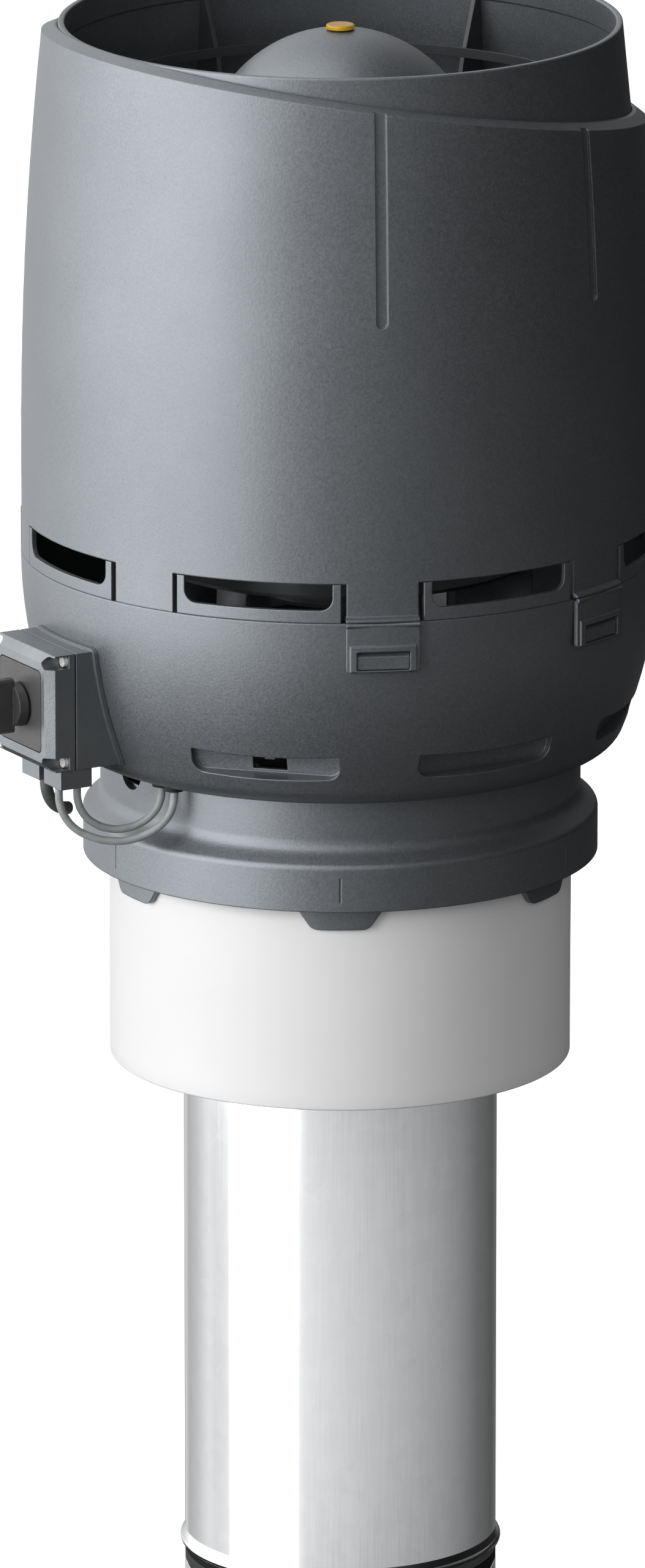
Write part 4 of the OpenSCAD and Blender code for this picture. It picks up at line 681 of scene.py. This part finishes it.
# Screws: zinc-plated steel, bright, with a worn roughness that varies in patches
screw_steel, screw_out = new_material("bright zinc-plated steel")
screw_place = node(screw_steel, "ShaderNodeTexCoord").outputs["Object"]
screw_noise = node(screw_steel, "ShaderNodeTexNoise", {
    "Vector": screw_place, "Scale": 1000 / 1.5, "Detail": 3})
screw_colour = node(screw_steel, "ShaderNodeValToRGB", {"Fac": screw_noise.outputs["Fac"]},
                    stops=[(0.3, linear("E8E8E5")), (0.7, linear("F4F4F2"))])
screw_gloss = node(screw_steel, "ShaderNodeMapRange", {
    "Value": screw_noise.outputs["Fac"], "To Min": 0.15, "To Max": 0.4})
finish_surface(screw_steel, screw_out, {
    "Base Color": screw_colour.outputs["Color"], "Metallic": 0.3,
    "Roughness": screw_gloss.outputs["Result"]})
dress("screw_steel", screw_steel)

# The two inner mouldings, the motor support and the inlet nozzle, are a dark grey PP with
# a fine grain, less bright than the shells round them.
dress("inner_plastic", moulded("dark grey moulded PP", "2C2E30", "383B3D", 50, 1.4, 0.3, 0.5,
                               edge_mm=0.6))

# The isolator box at the left: a grey ABS housing with glands below, and a rotary switch.
dress("box_plastic", moulded("satin grey ABS housing", "767A7E", "828689", 45, 1.3, 0.3, 0.42,
                             metallic=0.8, edge_mm=0.8))
dress("switch_plastic", moulded("dark grey polycarbonate", "3A3939", "454444", 30, 1.2, 0.25,
                                0.45, edge_mm=0.5))
dress("knob_plastic", moulded("satin dark grey nylon", "3A3A3A", "444443", 20, 1.0, 0.25, 0.32,
                              edge_mm=1.0))
dress("terminal_plastic", moulded("ivory polyamide", "CFCBBB", "DEDACB", 20, 1.0, 0.2, 0.45))
dress("cable_grey", cable_grey)
dress("cable_black", cable_black)
dress("amber_plug", moulded("amber polyamide", "DFA808", "EDB918", 15, 1.0, 0.15, 0.3,
                            edge_mm=0.4))

# Motor: cast aluminium for the parts that the record gives that slot, such as the flange,
# a varnished laminated core and ground bearing steel.
cast, cast_out = new_material("shot-blasted die-cast aluminium")
cast_place = node(cast, "ShaderNodeTexCoord").outputs["Object"]
cast_noise = node(cast, "ShaderNodeTexNoise", {
    "Vector": cast_place, "Scale": 1000 / 1.8, "Detail": 4, "Roughness": 0.7})
cast_colour = node(cast, "ShaderNodeValToRGB", {"Fac": cast_noise.outputs["Fac"]},
                   stops=[(0.3, linear("9C9DA0")), (0.7, linear("BABBBE"))])
cast_gloss = node(cast, "ShaderNodeMapRange", {
    "Value": cast_noise.outputs["Fac"], "To Min": 0.4, "To Max": 0.6})
cast_bump = node(cast, "ShaderNodeBump", {
    "Height": cast_noise.outputs["Fac"], "Strength": 0.35, "Distance": 0.0005})
finish_surface(cast, cast_out, {
    "Base Color": cast_colour.outputs["Color"], "Metallic": 0.9,
    "Roughness": cast_gloss.outputs["Result"], "Normal": cast_bump.outputs["Normal"]})
dress("cast_aluminium", cast)

core_steel, core_out = new_material("varnished stacked laminations")
core_place = node(core_steel, "ShaderNodeTexCoord").outputs["Object"]
# Sheets of 0.5 mm, edge on
layers = node(core_steel, "ShaderNodeTexWave", {
    "Vector": core_place, "Scale": 1000 / 0.5 / 20, "Distortion": 0.4, "Detail": 1},
    bands_direction="Z")
core_colour = node(core_steel, "ShaderNodeValToRGB", {"Fac": layers.outputs["Fac"]},
                   stops=[(0.2, linear("2B2421")), (0.8, linear("574A43"))])
core_bump = node(core_steel, "ShaderNodeBump", {
    "Height": layers.outputs["Fac"], "Strength": 0.4, "Distance": 0.0003})
finish_surface(core_steel, core_out, {
    "Base Color": core_colour.outputs["Color"], "Metallic": 0.7, "Roughness": 0.45,
    "Normal": core_bump.outputs["Normal"]})
dress("core_steel", core_steel)

bearing, bearing_out = new_material("ground bearing steel")
bearing_place = node(bearing, "ShaderNodeTexCoord").outputs["Object"]
ground = node(bearing, "ShaderNodeMapping", {"Vector": bearing_place, "Scale": (1, 1, 12)})
bearing_noise = node(bearing, "ShaderNodeTexNoise", {
    "Vector": ground.outputs[0], "Scale": 1000 / 4, "Detail": 3})
bearing_colour = node(bearing, "ShaderNodeValToRGB", {"Fac": bearing_noise.outputs["Fac"]},
                      stops=[(0.3, linear("B4B5B8")), (0.7, linear("CDCED1"))])
bearing_gloss = node(bearing, "ShaderNodeMapRange", {
    "Value": bearing_noise.outputs["Fac"], "To Min": 0.16, "To Max": 0.34})
finish_surface(bearing, bearing_out, {
    "Base Color": bearing_colour.outputs["Color"], "Metallic": 1.0,
    "Roughness": bearing_gloss.outputs["Result"]})
dress("bearing_steel", bearing)

# Impeller: pressed and riveted aluminium sheet, mill finish with faint rolling lines. Its grey
# is partly the sheet's own and partly painted shade: it is set darker to stand for the shade
# inside the fan.
blade_metal, blade_out = new_material("mill-finish aluminium sheet darkened as painted shade")
blade_place = node(blade_metal, "ShaderNodeTexCoord").outputs["Object"]
rolled = node(blade_metal, "ShaderNodeMapping", {"Vector": blade_place, "Scale": (1, 0.05, 1)})
rolling = node(blade_metal, "ShaderNodeTexNoise", {
    "Vector": rolled.outputs[0], "Scale": 1000 / 2, "Detail": 3})
# Painted shade: the sheet's grey is set darker than bare aluminium, for the shade that it sits
# in inside the fan
blade_colour_with_painted_shade = node(blade_metal, "ShaderNodeValToRGB", {"Fac": rolling.outputs["Fac"]},
                    stops=[(0.3, linear("A2A4A7")), (0.7, linear("B6B8BB"))])
blade_gloss = node(blade_metal, "ShaderNodeMapRange", {
    "Value": rolling.outputs["Fac"], "To Min": 0.24, "To Max": 0.4})
blade_bump = node(blade_metal, "ShaderNodeBump", {
    "Height": rolling.outputs["Fac"], "Strength": 0.08, "Distance": 0.0003})
finish_surface(blade_metal, blade_out, {
    "Base Color": blade_colour_with_painted_shade.outputs["Color"], "Metallic": 1.0,
    "Roughness": blade_gloss.outputs["Result"], "Normal": blade_bump.outputs["Normal"]})
dress("impeller_aluminium", blade_metal)
